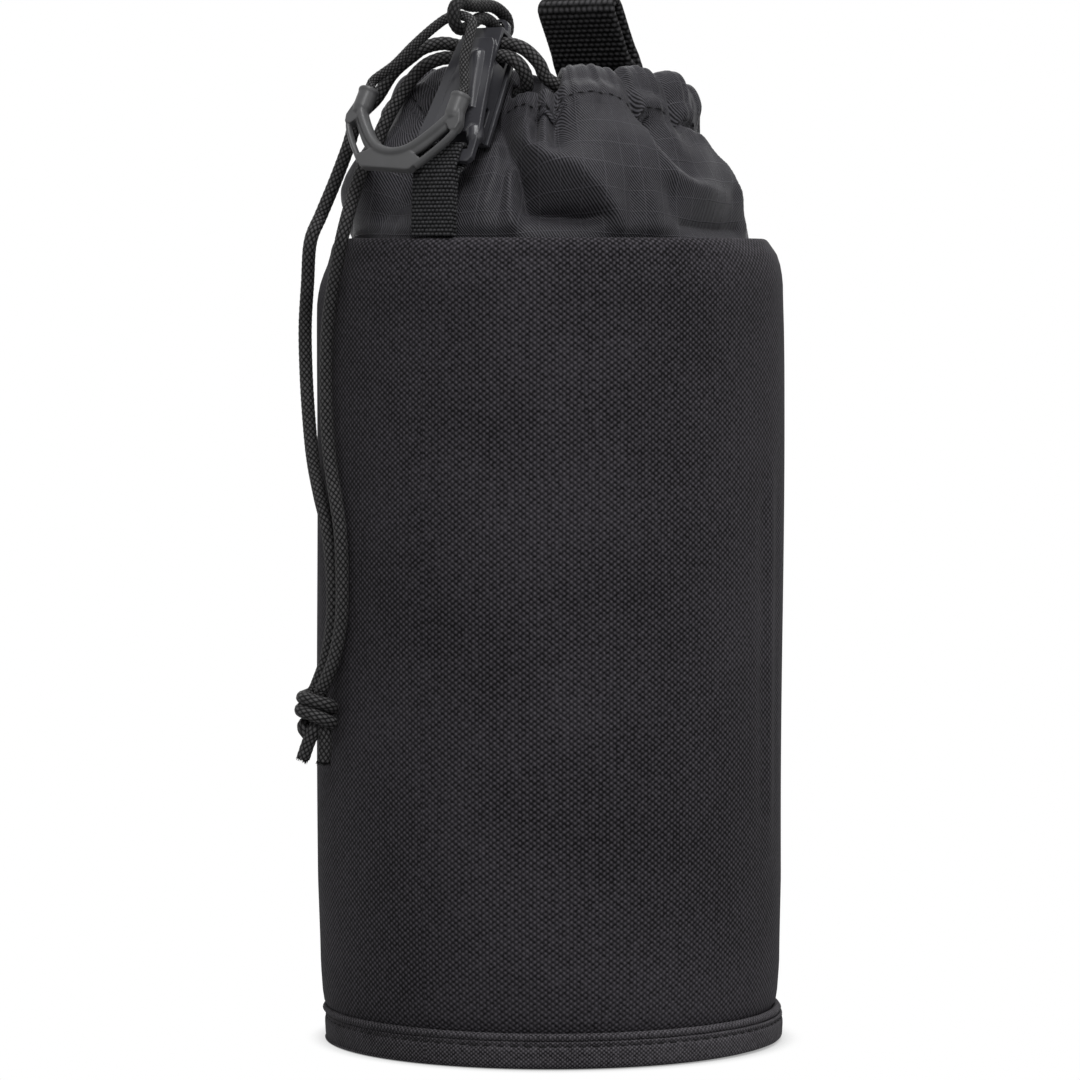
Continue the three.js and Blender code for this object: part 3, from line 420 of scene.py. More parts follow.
def ripstop(name, dark, light, roughness, square):
    """Light cloth with a fine twill and a raised thread every few millimetres both ways."""
    cloth = Recipe(name, light, roughness, Specular_IOR_Level=0.1, Sheen_Weight=0.04, Sheen_Roughness=0.5)
    u, v = cloth.cut_coordinates()
    lines = []
    for place in (u, v):
        wobble = cloth.sum("MULTIPLY_ADD", cloth.noise(120.0, 1.0), 0.35, place)
        near = cloth.sum("PINGPONG", wobble, square / 2)
        lines.append(cloth.sum("SUBTRACT", 1.0, cloth.sum("MINIMUM", cloth.sum("MULTIPLY", near, 5.5), 1.0)))
    grid = cloth.sum("MAXIMUM", *lines)
    twill = cloth.wave(cloth.sum("ADD", u, cloth.sum("MULTIPLY", v, 0.8)), TWILL)
    fine = cloth.sum("MULTIPLY_ADD", twill, 0.5, 0.5)
    tone = cloth.sum("MULTIPLY_ADD", cloth.noise(60.0, 3.0), 0.4, cloth.sum("MULTIPLY_ADD", fine, 1.1, -0.3))
    tone = cloth.sum("MULTIPLY_ADD", cloth.noise(1500.0), 0.5, cloth.sum("SUBTRACT", tone, 0.25))
    cloth.colour(cloth.sum("MULTIPLY_ADD", grid, 0.4, tone), dark, light)
    cloth.bump(fine, 0.05)
    cloth.bump(grid, 0.09)
    cloth.bump(cloth.noise(240.0, 3.0, 0.6), 0.25, 0.5)
    return cloth.material


def ribbed(name, dark, light, rib, depth, roughness):
    """Webbing: ribs across it, each broken into yarns that stand staggered from rib to rib."""
    cloth = Recipe(name, light, roughness, Specular_IOR_Level=0.06, Sheen_Weight=0.03, Sheen_Roughness=0.6)
    u, v = cloth.cut_coordinates()
    rows = cloth.sum("ABSOLUTE", cloth.wave(v, rib))
    step = cloth.sum("MULTIPLY", cloth.sum("FLOOR", cloth.sum("DIVIDE", v, rib)), rib * YARN / 2)
    yarns = cloth.sum("ABSOLUTE", cloth.wave(cloth.sum("ADD", u, step), rib * YARN))
    height = cloth.sum("MULTIPLY", rows, cloth.sum("MULTIPLY_ADD", yarns, 0.7, 0.3))
    fuzz = cloth.sum("MULTIPLY_ADD", cloth.noise(900.0), 0.7, -0.35)
    tone = cloth.sum("ADD", cloth.sum("POWER", height, 1.6), fuzz)
    cloth.colour(tone, dark, light)
    cloth.bump(height, depth)
    return cloth.material


def braid_cloth(name, dark, light, diameter):
    """Thread of a braided cord: painted shade between the diamonds and a painted highlight on their crowns,
    with fine filaments along each.
    """
    cloth = Recipe(name, light, 0.62, Specular_IOR_Level=0.1, Sheen_Weight=0.03, Sheen_Roughness=0.5)
    pitch = diameter * math.pi / BRAID_STRANDS * BRAID_STRETCH
    u, v = cloth.cut_coordinates()
    ring = cloth.sum("MULTIPLY", u, math.pi * BRAID_STRANDS / 1000)
    along = cloth.sum("MULTIPLY", v, math.pi / pitch)
    a = cloth.sum("SINE", cloth.sum("ADD", ring, along))
    b = cloth.sum("SINE", cloth.sum("SUBTRACT", ring, along))
    crown = cloth.sum("SQRT", cloth.sum("ABSOLUTE", cloth.sum("MULTIPLY", a, b)))
    threads = cloth.sum("SINE", cloth.sum("MULTIPLY", cloth.sum("ADD", ring, along), 6.0))
    # painted highlight on the diamonds' crowns, and painted shade in the gaps between them
    tone = cloth.sum("MULTIPLY_ADD", threads, 0.12, cloth.sum("POWER", crown, 2.2))
    tone = cloth.sum("ADD", tone, cloth.sum("MULTIPLY_ADD", cloth.noise(1100.0), 0.5, -0.3))
    cloth.colour(tone, dark, light)
    cloth.bump(crown, 0.1)
    cloth.bump(threads, 0.02)
    return cloth.material


def moulding(name, colour, roughness, grain):
    """Moulded plastic with a fine spark-eroded grain and slight wear in its gloss."""
    plastic = Recipe(name, colour, roughness, Specular_IOR_Level=0.3)
    worn = plastic.sum("MULTIPLY_ADD", plastic.noise(350.0, 4.0, 0.6), 0.16, roughness - 0.08)
    plastic.feed("Roughness", worn)
    light = tuple(min(255, c * 1.12) for c in colour)
    dark = tuple(c * 0.9 for c in colour)
    plastic.colour(plastic.noise(180.0, 3.0), dark, light)
    plastic.bump(plastic.noise(5200.0, 2.0), grain)
    return plastic.material


def pile(name, dark, light, depth):
    """The fuzzy face of hook or loop tape, foam or a felted board."""
    cloth = Recipe(name, light, 0.95, Specular_IOR_Level=0.05, Sheen_Weight=0.05, Sheen_Roughness=0.8)
    fuzz = cloth.noise(2600.0, 3.0, 0.8)
    cloth.colour(cloth.sum("MULTIPLY_ADD", fuzz, 1.6, -0.3), dark, light)
    cloth.bump(fuzz, depth)
    return cloth.material


def drawn_wire(name):
    wire = Recipe(name, (150, 151, 154), 0.28, Metallic=1.0)
    wire.feed("Roughness", wire.sum("MULTIPLY_ADD", wire.noise(900.0), 0.2, 0.18))
    wire.bump(wire.noise(4000.0), 0.01)
    return wire.material


BODY = woven("body_cloth", (16, 15, 17), (88, 85, 91), across=0.78, up=0.6, depth=0.16, roughness=0.82)
BASE_CLOTH = woven("base_cloth", (16, 15, 17), (66, 63, 68), across=0.78, up=0.6, depth=0.1, roughness=0.85)
BAND = woven("band_cloth", (24, 23, 25), (106, 103, 108), across=0.52, up=0.45, depth=0.1, roughness=0.8)
COLLAR = ripstop("collar_cloth", (12, 11, 13), (80, 79, 84), roughness=0.5, square=4.6)
LINING = ripstop("lining_cloth", (44, 44, 46), (64, 64, 66), roughness=0.7, square=5.0)
STRAP = ribbed("strap_webbing", (3, 3, 4), (76, 76, 78), rib=STRAP_RIB, depth=0.2, roughness=0.7)
HAUL = ribbed("haul_webbing", (2, 2, 2), (82, 81, 83), rib=HAUL_RIB, depth=0.16, roughness=0.75)
DRAWCORD = braid_cloth("drawcord_thread", (4, 4, 4), (98, 97, 98), diameter=3.0)
LEASH = braid_cloth("leash_thread", (4, 4, 4), (66, 65, 66), diameter=2.8)
PULL_THREAD = braid_cloth("pull_thread", (14, 14, 14), (104, 103, 104), diameter=2.2)
GRIP = moulding("pull_plastic", (76, 76, 77), roughness=0.4, grain=0.006)
LOCK = moulding("lock_plastic", (60, 60, 64), roughness=0.22, grain=0.003)
FOAM = pile("foam", (70, 70, 74), (92, 93, 97), depth=0.1)
TAPE = pile("hook_tape", (16, 16, 17), (46, 46, 48), depth=0.25)
BOARD = pile("board", (22, 22, 23), (34, 34, 35), depth=0.05)
SEWING = ribbed("sewing_thread", (18, 18, 19), (56, 55, 57), rib=0.2, depth=0.03, roughness=0.7)
STEEL = drawn_wire("spring_steel")


# Sleeve

RIM_Z = span("outer_shell", "z")[1]
SLEEVE_R = span("outer_shell", "x")[1]
WALL_Z0 = span("outer_shell", "z")[0]
WALL_IN = 0.2  # how far the wall stands in from its solid under the rim
LINING_Z0, LINING_Z1 = span("inner_lining", "z")
FOAM_Z0, FOAM_Z1 = span("foam_wall", "z")
PIPING_D = 1.6
BAND_H = span("base_binding", "z")[1] - 2.0  # the band is lower than its solid by the lip's share
BAND_R = span("base_binding", "x")[1]
CLEAR = 0.3
SHELL_T = 1.0
FOAM_T = 2.4
LINING_T = 0.6
TUCK_IN = 2.2  # how far the shell is drawn in under the band
TUCK_R = SLEEVE_R - TUCK_IN
TUCK_Z = BAND_H + PIPING_D
RIM_ROUND_H = 3.5
ROLL_IN = 0.9  # how far the rim's roll stands in from the wall
PULL_IN = 1.9  # how far the rim is drawn in on the left, under the cords
CORNER_IN = 1.5  # how far its upper corner is drawn in on the right
RIM_R = SLEEVE_R - WALL_IN - ROLL_IN
FLAP_R = SLEEVE_R - WALL_IN - SHELL_T - FOAM_T - 2 * CLEAR
FLAP_Z = RIM_Z - 10.7


def sleeve_radius(z, rolled=1.0):
    """Outside of the sleeve at rest, from the tuck under the band up to the rim's roll."""
    heights = [0, TUCK_Z - 0.4, TUCK_Z + 1.3, TUCK_Z + 9, TUCK_Z + 28, RIM_Z - 28, RIM_Z]
    inside = [TUCK_IN, TUCK_IN, 1.15, 0.5, 0, 0, WALL_IN]
    return SLEEVE_R - np.interp(z, heights, inside) - rolled * ROLL_IN * smooth(RIM_Z - 10, RIM_Z - 3, z)


def rim_pull(azimuth, z):
    """The rim is drawn in on the left, under the cords, and its corner is rounder on the right."""
    a = signed(azimuth)
    left = PULL_IN * smooth(RIM_Z - 15, RIM_Z - 2, z) * smooth(18, 46, -a) * (1 - smooth(95, 135, -a))
    right = CORNER_IN * smooth(RIM_Z - 5, RIM_Z - 0.8, z) * smooth(70, 100, a) * (1 - smooth(130, 155, a))
    return -left - right


# Upright creases of the wall: azimuth, half width in degrees and depth
RIDGES = [
    (96.0, 2.6, -0.5), (101.5, 2.4, 0.45), (107.0, 3.0, -0.35), (-58.0, 5.0, -0.25), (214.0, 4.0, -0.35),
]


def sleeve_wave(azimuth, z):
    """How the padded wall swells and dips: long soft waves, and a few upright creases on the right."""
    a = azimuth * DEG
    body = smooth(TUCK_Z, TUCK_Z + 16, z) * (1 - smooth(RIM_Z - 22, RIM_Z - 6, z))
    long_waves = (
        0.16 * np.sin(2 * a + 0.6 + z * 0.021)
        + 0.13 * np.sin(5 * a - 1.2 + z * 0.034)
        + 0.1 * np.sin(3 * a + 2.0 - z * 0.055)
    )
    creases = sum(depth * bell(azimuth, at, width) for at, width, depth in RIDGES)
    window = smooth(38, 62, z) * (1 - smooth(112, 136, z))
    rim = (0.2 * np.sin(7 * a + 0.4) + 0.12 * np.sin(17 * a + 2)) * smooth(RIM_Z - 14, RIM_Z, z)
    return (long_waves * body + creases * window * 0.8 + rim) * smooth(TUCK_Z, TUCK_Z + 8, z)


def rim_arc(outer, inner, top, height, steps):
    a = np.linspace(0, math.pi, steps + 1)
    centre, half = (outer + inner) / 2, (outer - inner) / 2
    return [(centre + half * math.cos(t), top - height + height * math.sin(t)) for t in a]


def sleeve_shell():
    """The woven shell, over the rim's roll and down inside as a flap, with its own thickness."""
    tucked = np.linspace(WALL_Z0 + 1.5, TUCK_Z, 5)
    heights = [WALL_Z0, *tucked, *np.linspace(TUCK_Z + 1.0, RIM_Z - RIM_ROUND_H, 76)]
    outer = [(float(sleeve_radius(z)), z) for z in heights]
    inner = [(r - SHELL_T, z) for r, z in outer[:-1]]
    flap_in = FLAP_R - SHELL_T
    profile = [
        *outer,
        *rim_arc(RIM_R, flap_in, RIM_Z, RIM_ROUND_H, 14)[1:],
        (flap_in, RIM_Z - 6),
        (flap_in, FLAP_Z + 0.4),
        (flap_in + 0.3, FLAP_Z),
        (FLAP_R, FLAP_Z + 0.2),
        (FLAP_R, RIM_Z - 6),
        *rim_arc(RIM_R - SHELL_T, FLAP_R, RIM_Z - SHELL_T, RIM_ROUND_H - SHELL_T, 10)[::-1],
        *inner[::-1],
    ]

    def shift(azimuth, radius, z):
        wave = sleeve_wave(azimuth, z)
        return wave * smooth(FLAP_R + 0.2, RIM_R - SHELL_T - 0.2, radius) + rim_pull(azimuth, z)

    piece = turned("sleeve_shell", profile, 320, shift)
    dress(piece, "pouch", BODY, "body_cloth", "outer_shell")


def sleeve_foam():
    outer = SHELL_T + CLEAR
    heights = [FOAM_Z0, *np.linspace(TUCK_Z, FOAM_Z1 - 1, 40)]
    outside = [(float(sleeve_radius(z)) - outer, z) for z in heights]
    inside = [(float(sleeve_radius(z, 0)) - outer - FOAM_T, z) for _, z in outside]
    crown = [(outside[-1][0] - 0.6, FOAM_Z1), (inside[-1][0] + 0.6, FOAM_Z1)]

    def shift(azimuth, radius, z):
        return sleeve_wave(azimuth, z) * 0.9 + rim_pull(azimuth, z)

    piece = turned("sleeve_foam", [*outside, *crown, *inside[::-1]], 160, shift)
    dress(piece, "pouch", FOAM, "foam", "foam_wall")


def sleeve_lining():
    inset = SHELL_T + FOAM_T + 2 * CLEAR
    heights = [LINING_Z0, *np.linspace(TUCK_Z, LINING_Z1, 40)]
    outside = [(float(sleeve_radius(z, 0)) - inset, z) for z in heights]
    inside = [(r - LINING_T, z) for r, z in outside]

    def shift(azimuth, radius, z):
        return sleeve_wave(azimuth, z) * 0.85 - 0.02 + rim_pull(azimuth, z)

    piece = turned("sleeve_lining", [*outside, *inside[::-1]], 160, shift)
    dress(piece, "pouch", LINING, "lining_cloth", "inner_lining")


# Base

BAND_STITCH_Z = BAND_H - 1.0
BAND_STITCH = 2.9  # pitch of the seam's stitches
BAND_SEAM_IN = 0.36
FOOT_R = TUCK_R - 5
BAND_IN = TUCK_R + CLEAR


def base_pieces():
    for name, node, z0, material, slot, fill in (
        ("base_cloth", "base_fabric", 0.0, BASE_CLOTH, "body_cloth", 0.2),
        ("base_pad", "base_foam", span("base_foam", "z")[0], FOAM, "foam", 1.0),
        ("base_lining_cloth", "base_lining", span("base_lining", "z")[0], LINING, "lining_cloth", 0.2),
    ):
        piece = closed_disc(name, span(node, "x")[1], z0, span(node, "z")[1])
        dress(piece, "pouch", material, slot, node)
    wear(NODES["base_board"], BOARD)


DISC_RINGS = 24
DISC_STEPS = 128


def closed_disc(name, radius, z0, z1):
    """A round cloth plate with a soft edge: rings from its middle out on top and back in underneath."""
    edge = min(0.35, (z1 - z0) * 0.4)
    rings = [(r, z1) for r in np.linspace(0.8, radius - edge, DISC_RINGS)]
    rings += [(radius, z1 - edge), (radius, z0 + edge)]
    rings += [(r, z0) for r in np.linspace(radius - edge, 0.8, DISC_RINGS)]
    azimuths = np.arange(DISC_STEPS) * 360.0 / DISC_STEPS
    points = np.concatenate([around(azimuths, r, z) for r, z in rings])
    points = np.vstack([points, [[0, 0, z1], [0, 0, z0]]])
    faces = quads(len(rings), DISC_STEPS)
    top, bottom, last = len(points) - 2, len(points) - 1, len(points) - 2 - DISC_STEPS
    for j in range(DISC_STEPS):
        k = (j + 1) % DISC_STEPS
        faces.append((top, k, j))
        faces.append((bottom, last + j, last + k))
    uvs = [points[k][:2] for face in faces for k in face]
    return build(name, points, faces, uvs)


BASE_OFF = 0.85  # how far off centre the band is sewn on, and which way
BASE_WAY = 122.0


def binding():
    """The band round the base, folded under it, with the seam that holds it drawn in a little."""
    foot = [(FOOT_R, 0.9), (FOOT_R, 0.35), (FOOT_R + 0.4, 0.0)]
    bottom = [(r, 0.0) for r in np.linspace(FOOT_R + 1.2, BAND_R - 1.5, 8)]
    corner = [(BAND_R - 1.4 + 1.28 * math.sin(t), 1.4 - 1.4 * math.cos(t)) for t in np.linspace(0.2, 1.4, 8)]
    wall = []
    for z in np.linspace(1.8, BAND_H - 0.3, 16):
        dip = 0.32 * bell(z, BAND_STITCH_Z, 0.38)
        swell = 0.1 * bell(z, 3.6, 1.4)
        wall.append((BAND_R - 0.12 - dip + swell, z))
    lip = [(BAND_R - 0.3, BAND_H - 0.05), (BAND_R - 0.7, BAND_H), (BAND_IN + 0.1, BAND_H - 0.1)]
    inner = [(BAND_IN, z) for z in np.linspace(BAND_H - 0.5, 2.2, 5)]
    under = [(BAND_IN - 1.1, 0.9)]

    def shift(azimuth, radius, z):
        outside = smooth(BAND_IN + 0.4, BAND_R - 0.3, radius)
        a = azimuth * DEG
        uneven = 0.1 * np.sin(4 * a + 1.0) + 0.06 * np.sin(23 * a) * bell(z, BAND_STITCH_Z, 1.2)
        return outside * (uneven + BASE_OFF * np.cos(a - BASE_WAY * DEG))

    piece = turned("base_band", [*foot, *bottom, *corner, *wall, *lip, *inner, *under], 360, shift)
    dress(piece, "pouch", BAND, "band_cloth", "base_binding")


def piping():
    """The rolled lip above the band: a fold of cloth round a thin filler."""
    half = PIPING_D / 2 + 0.05
    middle = BAND_H + PIPING_D / 2
    centre = BAND_IN + 0.35
    a = np.linspace(0, 2 * math.pi, 20, endpoint=False)
    profile = np.stack([centre + 0.95 * np.cos(a), middle + half * np.sin(a)], axis=1)

    def shift(azimuth, radius, z):
        t = azimuth * DEG
        uneven = 0.07 * np.sin(4 * t + 1.0) + 0.05 * np.sin(31 * t)
        return uneven + 0.5 * BASE_OFF * np.cos(t - BASE_WAY * DEG)

    piece = turned("base_lip", profile, 360, shift)
    dress(piece, "pouch", BAND, "band_cloth", "base_piping")


def stitches(name, seats, body, slot, length, width, rise):
    """A row of single stitches. Each seat is a place, the way along the seam and the way out of the cloth."""
    points = []
    faces = []
    sides, rings = 6, 5
    for place, ahead, out in seats:
        place, ahead, out = (np.asarray(x, float) for x in (place, ahead, out))
        ahead = ahead / np.linalg.norm(ahead)
        across = np.cross(ahead, out)
        across /= np.linalg.norm(across)
        out = np.cross(across, ahead)
        first = len(points)
        for i in range(rings):
            t = i / (rings - 1) * 2 - 1
            fat = math.sqrt(max(0.12, 1 - t * t)) * width / 2
            centre = place + ahead * t * length / 2 + out * (rise * (1 - t * t) - 0.12 * t * t)
            for k in range(sides):
                a = k / sides * 2 * math.pi
                points.append(centre + fat * (across * math.cos(a) + out * math.sin(a)))
        faces += quads(rings, sides, first=first)
        faces += [tuple(range(start, start + sides)) for start in (first, first + (rings - 1) * sides)]
    piece = build(name, points, faces, [points[k][:2] for face in faces for k in face])
    dress(piece, body, SEWING, slot)


def band_stitches():
    radius = BAND_R - BAND_SEAM_IN
    count = int(2 * math.pi * radius / BAND_STITCH)
    seats = []
    for i in range(count):
        azimuth = i * 360.0 / count
        off = BASE_OFF * math.cos((azimuth - BASE_WAY) * DEG) + 0.1 * math.sin(4 * azimuth * DEG + 1)
        place = around(azimuth, radius + off, BAND_STITCH_Z)
        seats.append((place, around(azimuth + 90, 1.0, 0.0), around(azimuth, 1.0, 0.0)))
    stitches("band_seam", seats, "pouch", "band_cloth", length=1.9, width=0.42, rise=0.05)


# Collar

SKIRT_R = FLAP_R - SHELL_T - CLEAR - 0.6
# The dome's side views, as millimetres out from the skirt and up from the rim
SKIRT = [(0, -9), (0, -4), (0, -0.5)]
REAR_SIDE = [*SKIRT, (-0.2, 2.5), (-2.2, 7.5), (-5.1, 13), (-8.7, 18.4), (-12.3, 24), (-18.6, 36.5)]
BACK_SIDE = [*SKIRT, (-0.5, 2.5), (-3.1, 7.5), (-6.7, 13), (-10.7, 18.4), (-15.1, 24), (-22.6, 35.5)]
LEFT_SIDE = [*SKIRT, (1, 2.5), (0.3, 7), (-2.3, 12.5), (-5.9, 18.5), (-10.1, 25), (-19.1, 36)]
CAMERA_SIDE = [*SKIRT, (1.2, 2.5), (0.7, 6.5), (-1.6, 14), (-5.6, 21), (-12.1, 29.5), (-25.1, 34.5)]
LOCK_SIDE = [*SKIRT, (0.2, 2.5), (-1.6, 7), (-6.1, 13), (-11.6, 19), (-17.3, 25.5), (-26.5, 35.5)]


def signed(azimuth):
    return (np.asarray(azimuth, float) + 540) % 360 - 180


def collar_side(azimuth):
    """The dome's side view at an azimuth: radius and height from the skirt to the hem's lips and its top."""
    a = signed(azimuth)
    lock = 1 - smooth(14, 32, abs(a))
    camera = smooth(-62, -30, a) * (1 - smooth(45, 95, a))
    left = smooth(-125, -85, a) * (1 - smooth(-62, -30, a))
    back = smooth(140, 160, abs(a))
    rear = 1 - camera - left - back
    shares = [rear * (1 - lock), back, left * (1 - lock), camera * (1 - lock), lock]
    sides = [REAR_SIDE, BACK_SIDE, LEFT_SIDE, CAMERA_SIDE, LOCK_SIDE]
    blended = sum(w * np.array(s, float) for w, s in zip(shares, sides))
    return blended + [SKIRT_R, RIM_Z]


# Azimuths of the pleats where the cord draws the hem together, and how far each pinches the seam down
PLEATS = [
    (8, 0.2), (27.6, 0.6), (33, 0.95), (64, 0.85), (83, 0.5), (99, 0.7), (112, 0.35), (126, 0.8),
    (143, 0.4), (157, 0.2), (203, 0.3), (217, 0.7), (233, 0.4), (250, 0.9), (268, 0.4), (285, 0.8),
    (303, 0.4), (320, 0.8), (336, 0.5), (351, 0.2),
]
GATHER = 2.3  # depth of the gathers at the hem's lips
PINCH = 4.0  # how far the deepest pleat draws the seam down


def free_of_straps(azimuth):
    """1 where the collar is free to gather, 0 behind the lock and under the haul strap."""
    a = abs(signed(azimuth))
    return smooth(5, 11, a) * (1 - smooth(148, 160, a))


def flattened(azimuth):
    """1 on the collar's right, where the gathers lie flat and the hem leans in."""
    a = signed(azimuth)
    return smooth(94, 108, a) * (1 - smooth(138, 150, a))


def gather(azimuth):
    """From -1 in a pleat to 1 on the swell between two."""
    a = np.asarray(azimuth, float) % 360
    places = [at for at, _ in PLEATS]
    stops = np.array([places[-1] - 360, *places, places[0] + 360], float)
    k = np.clip(np.searchsorted(stops, a, side="right") - 1, 0, len(stops) - 2)
    width = stops[k + 1] - stops[k]
    t = (a - stops[k]) / width
    swell = 2 * np.sin(math.pi * t) ** 0.42 - 1
    full = swell * free_of_straps(a) * np.clip(width / 15, 0.6, 1.15)
    return mix(full, 0.25 * full - 0.75, flattened(a))


def pinch(azimuth):
    total = sum(deep * bell(signed(azimuth - at), 0, 2.6) for at, deep in PLEATS)
    return total * free_of_straps(azimuth)


COLLAR_COLUMNS = 528
COLLAR_ROWS = 67
CLOTH_T = 0.34


def dome_point(azimuth, t, out):
    """The radius and height out of the plain dome: t is 0 at the skirt's foot and 1 at the hem's lips."""
    side = collar_side(azimuth)[:8]
    along = lengths_along(side)
    s = t * along[-1]
    r = np.interp(s, along, side[:, 0])
    z = np.interp(s, along, side[:, 1])
    lo, hi = max(0.0, s - 1.5), min(along[-1], s + 1.5)
    dr = np.interp(hi, along, side[:, 0]) - np.interp(lo, along, side[:, 0])
    dz = np.interp(hi, along, side[:, 1]) - np.interp(lo, along, side[:, 1])
    d = math.hypot(dr, dz)
    return r + out * dz / d, z - out * dr / d


# The collar's creases as azimuth, share of the way up and millimetres out of the plain dome
CREASES = [
    # beside the lock: a crease down from the seam, and a soft rise between it and the webbing
    [(8, 0.97, -0.4), (11, 0.92, -1.3), (14.5, 0.84, -1.8), (18, 0.74, -2.0), (20.4, 0.67, -1.8)],
    [(12.5, 0.8, 0.9), (14.2, 0.69, 1.4), (14.8, 0.57, 1.5), (14.4, 0.4, 1.2), (13, 0.28, 0.5)],
    [(17.6, 0.6, -0.8), (17.9, 0.48, -1.2), (18, 0.36, -0.6)],
    # the lobe's sharp lower edge, the hollow under it and the hollow's steep left side
    [
        (18.6, 0.87, 0.9), (22, 0.79, 1.5), (26, 0.71, 2.6), (31, 0.61, 4.3),
        (39, 0.56, 4.5), (46, 0.44, 3.2), (51, 0.29, 0.6),
    ],
    [
        (21.8, 0.64, -3.0), (23.2, 0.52, -5.6), (24.6, 0.37, -6.8), (30, 0.335, -7.0),
        (36, 0.33, -6.8), (42, 0.318, -5.4), (47, 0.34, -2.0),
    ],
    [(19.5, 0.62, 0.2), (20.6, 0.5, 1.0), (21.2, 0.38, 1.1), (22.4, 0.29, 0.8)],
    # the pinched pleat: a narrow bulge between two grooves
    [(30.2, 0.93, 0.8), (30.2, 0.85, 1.2), (30.3, 0.78, 2.2), (30.7, 0.7, 3.0)],
    [(27.3, 0.96, -1.8), (27.3, 0.9, -2.7), (27.4, 0.81, -2.0), (28.2, 0.73, 0.3)],
    [(33.1, 0.96, -2.0), (33.2, 0.9, -3.0), (33.6, 0.8, -2.6), (34.0, 0.7, -0.4)],
    [(22.5, 0.94, 1.5), (24, 0.86, 1.9), (25, 0.78, 2.1)],
    # the broad panel, its bright right-hand ridge, and the two faint shades below
    [(48, 0.93, 1.6), (47, 0.78, 2.2), (46, 0.64, 2.5)],
    [
        (63, 0.96, 0.6), (63.8, 0.86, 2.4), (65, 0.71, 3.0), (69, 0.57, 2.8),
        (78, 0.53, 2.6), (90, 0.51, 2.0), (100, 0.5, 0.9),
    ],
    [(67, 0.95, -2.0), (68, 0.84, -1.6), (71, 0.7, -0.6), (79, 0.6, 0.0)],
    [(54.5, 0.58, 0.7), (53.8, 0.42, -0.9), (53.5, 0.29, -0.5)],
    [(60.5, 0.5, 1.4), (61, 0.37, 1.2), (61, 0.27, 0.5)],
    [(67.5, 0.5, -0.2), (67.5, 0.38, -1.5), (67, 0.27, -0.5)],
    [(74, 0.97, 1.4), (77, 0.84, 1.7), (80, 0.72, 1.3)],
    [(71, 0.31, -2.4), (80, 0.3, -3.0), (91, 0.3, -2.8), (102, 0.31, -1.6)],
    # the next panel's edge and the groove behind it
    [(83.5, 0.98, 1.8), (89, 0.94, 2.5), (95, 0.89, 2.8), (101, 0.7, 2.8), (105, 0.5, 2.2), (108, 0.3, 0.7)],
    [
        (87.5, 0.99, -1.5), (93, 0.965, -2.0), (98.6, 0.91, -2.2), (104.6, 0.7, -2.4),
        (108.8, 0.5, -2.2), (112, 0.32, -0.8),
    ],
    [(104, 0.96, 0.2), (110, 0.8, -0.6), (114, 0.6, -0.8)],
    # the right of the back
    [(126, 0.95, -1.5), (126, 0.75, -1.7), (122, 0.5, -1.4), (118, 0.32, -0.4)],
    [(135, 0.92, -0.4), (136, 0.7, -0.2), (132, 0.45, 0.2), (130, 0.3, 0)],
    [(144, 0.92, -1.0), (144, 0.6, -1.1), (142, 0.35, -0.5)],
    # the left, from the lock to the back
    [(-10, 0.92, -1.8), (-13, 0.72, -4.0), (-17, 0.52, -4.6), (-22, 0.35, -2.4)],
    [(-17, 0.92, 1.2), (-23, 0.74, 1.9), (-29, 0.54, 2.1), (-39, 0.37, 1.0)],
    [(-40, 0.93, -1.8), (-42, 0.7, -1.8), (-47, 0.48, -2.8), (-55, 0.34, -2.2)],
    [(-48, 0.92, 1.4), (-53, 0.72, 2.0), (-60, 0.52, 2.5), (-70, 0.37, 1.2)],
    [(-75, 0.93, -1.8), (-77, 0.74, -1.2), (-82, 0.54, -2.4), (-89, 0.37, -3.2), (-98, 0.33, -1.6)],
    [(-83, 0.92, 1.4), (-89, 0.74, 2.1), (-97, 0.56, 2.3), (-107, 0.41, 1.2)],
    [(-110, 0.93, -1.6), (-112, 0.7, -1.8), (-118, 0.48, -2.4), (-126, 0.34, -1.2)],
    [(-118, 0.92, 1.2), (-125, 0.68, 1.9), (-133, 0.44, 1.2)],
    [(-143, 0.92, -1.0), (-145, 0.6, -1.2), (-146, 0.36, -0.5)],
]
RIM_T = 0.22  # the share of the way up where the collar comes out of the rim
TAUT_ROUNDS = 1600


def creased(azimuths, heights):
    """How far the collar stands out of the dome: taut cloth between its creases, its pleats and the rim."""
    columns = len(azimuths)
    held = np.zeros((len(heights), columns), bool)
    out = np.zeros(held.shape)
    ties = free_of_straps(azimuths)
    held[heights <= RIM_T] = True
    held[:, ties < 0.5] = True
    held[-1] = True
    out[-1] = GATHER * np.array([float(gather(a)) for a in azimuths])
    for crease in CREASES:
        for (a0, t0, d0), (a1, t1, d1) in zip(crease, crease[1:]):
            for f in np.linspace(0, 1, 90):
                j = int(round(mix(a0, a1, f) / 360 * columns)) % columns
                i = int(round(mix(t0, t1, f) * (len(heights) - 1)))
                if not held[i, j] or f > 0:
                    held[i, j] = True
                    out[i, j] = mix(d0, d1, f)
    for _ in range(TAUT_ROUNDS):
        beside = np.roll(out, 1, axis=1) + np.roll(out, -1, axis=1)
        above = np.vstack([out[1:], out[-1:]]) + np.vstack([out[:1], out[:-1]])
        out = np.where(held, out, (beside + above) / 4)
    return out


def seam_ripple(azimuth, coarse, fine):
    """Short ripples along the hem's seam."""
    a = azimuth * DEG
    return coarse * np.sin(61 * a + 2 * np.sin(9 * a)) + fine * np.sin(97 * a + 1.1)


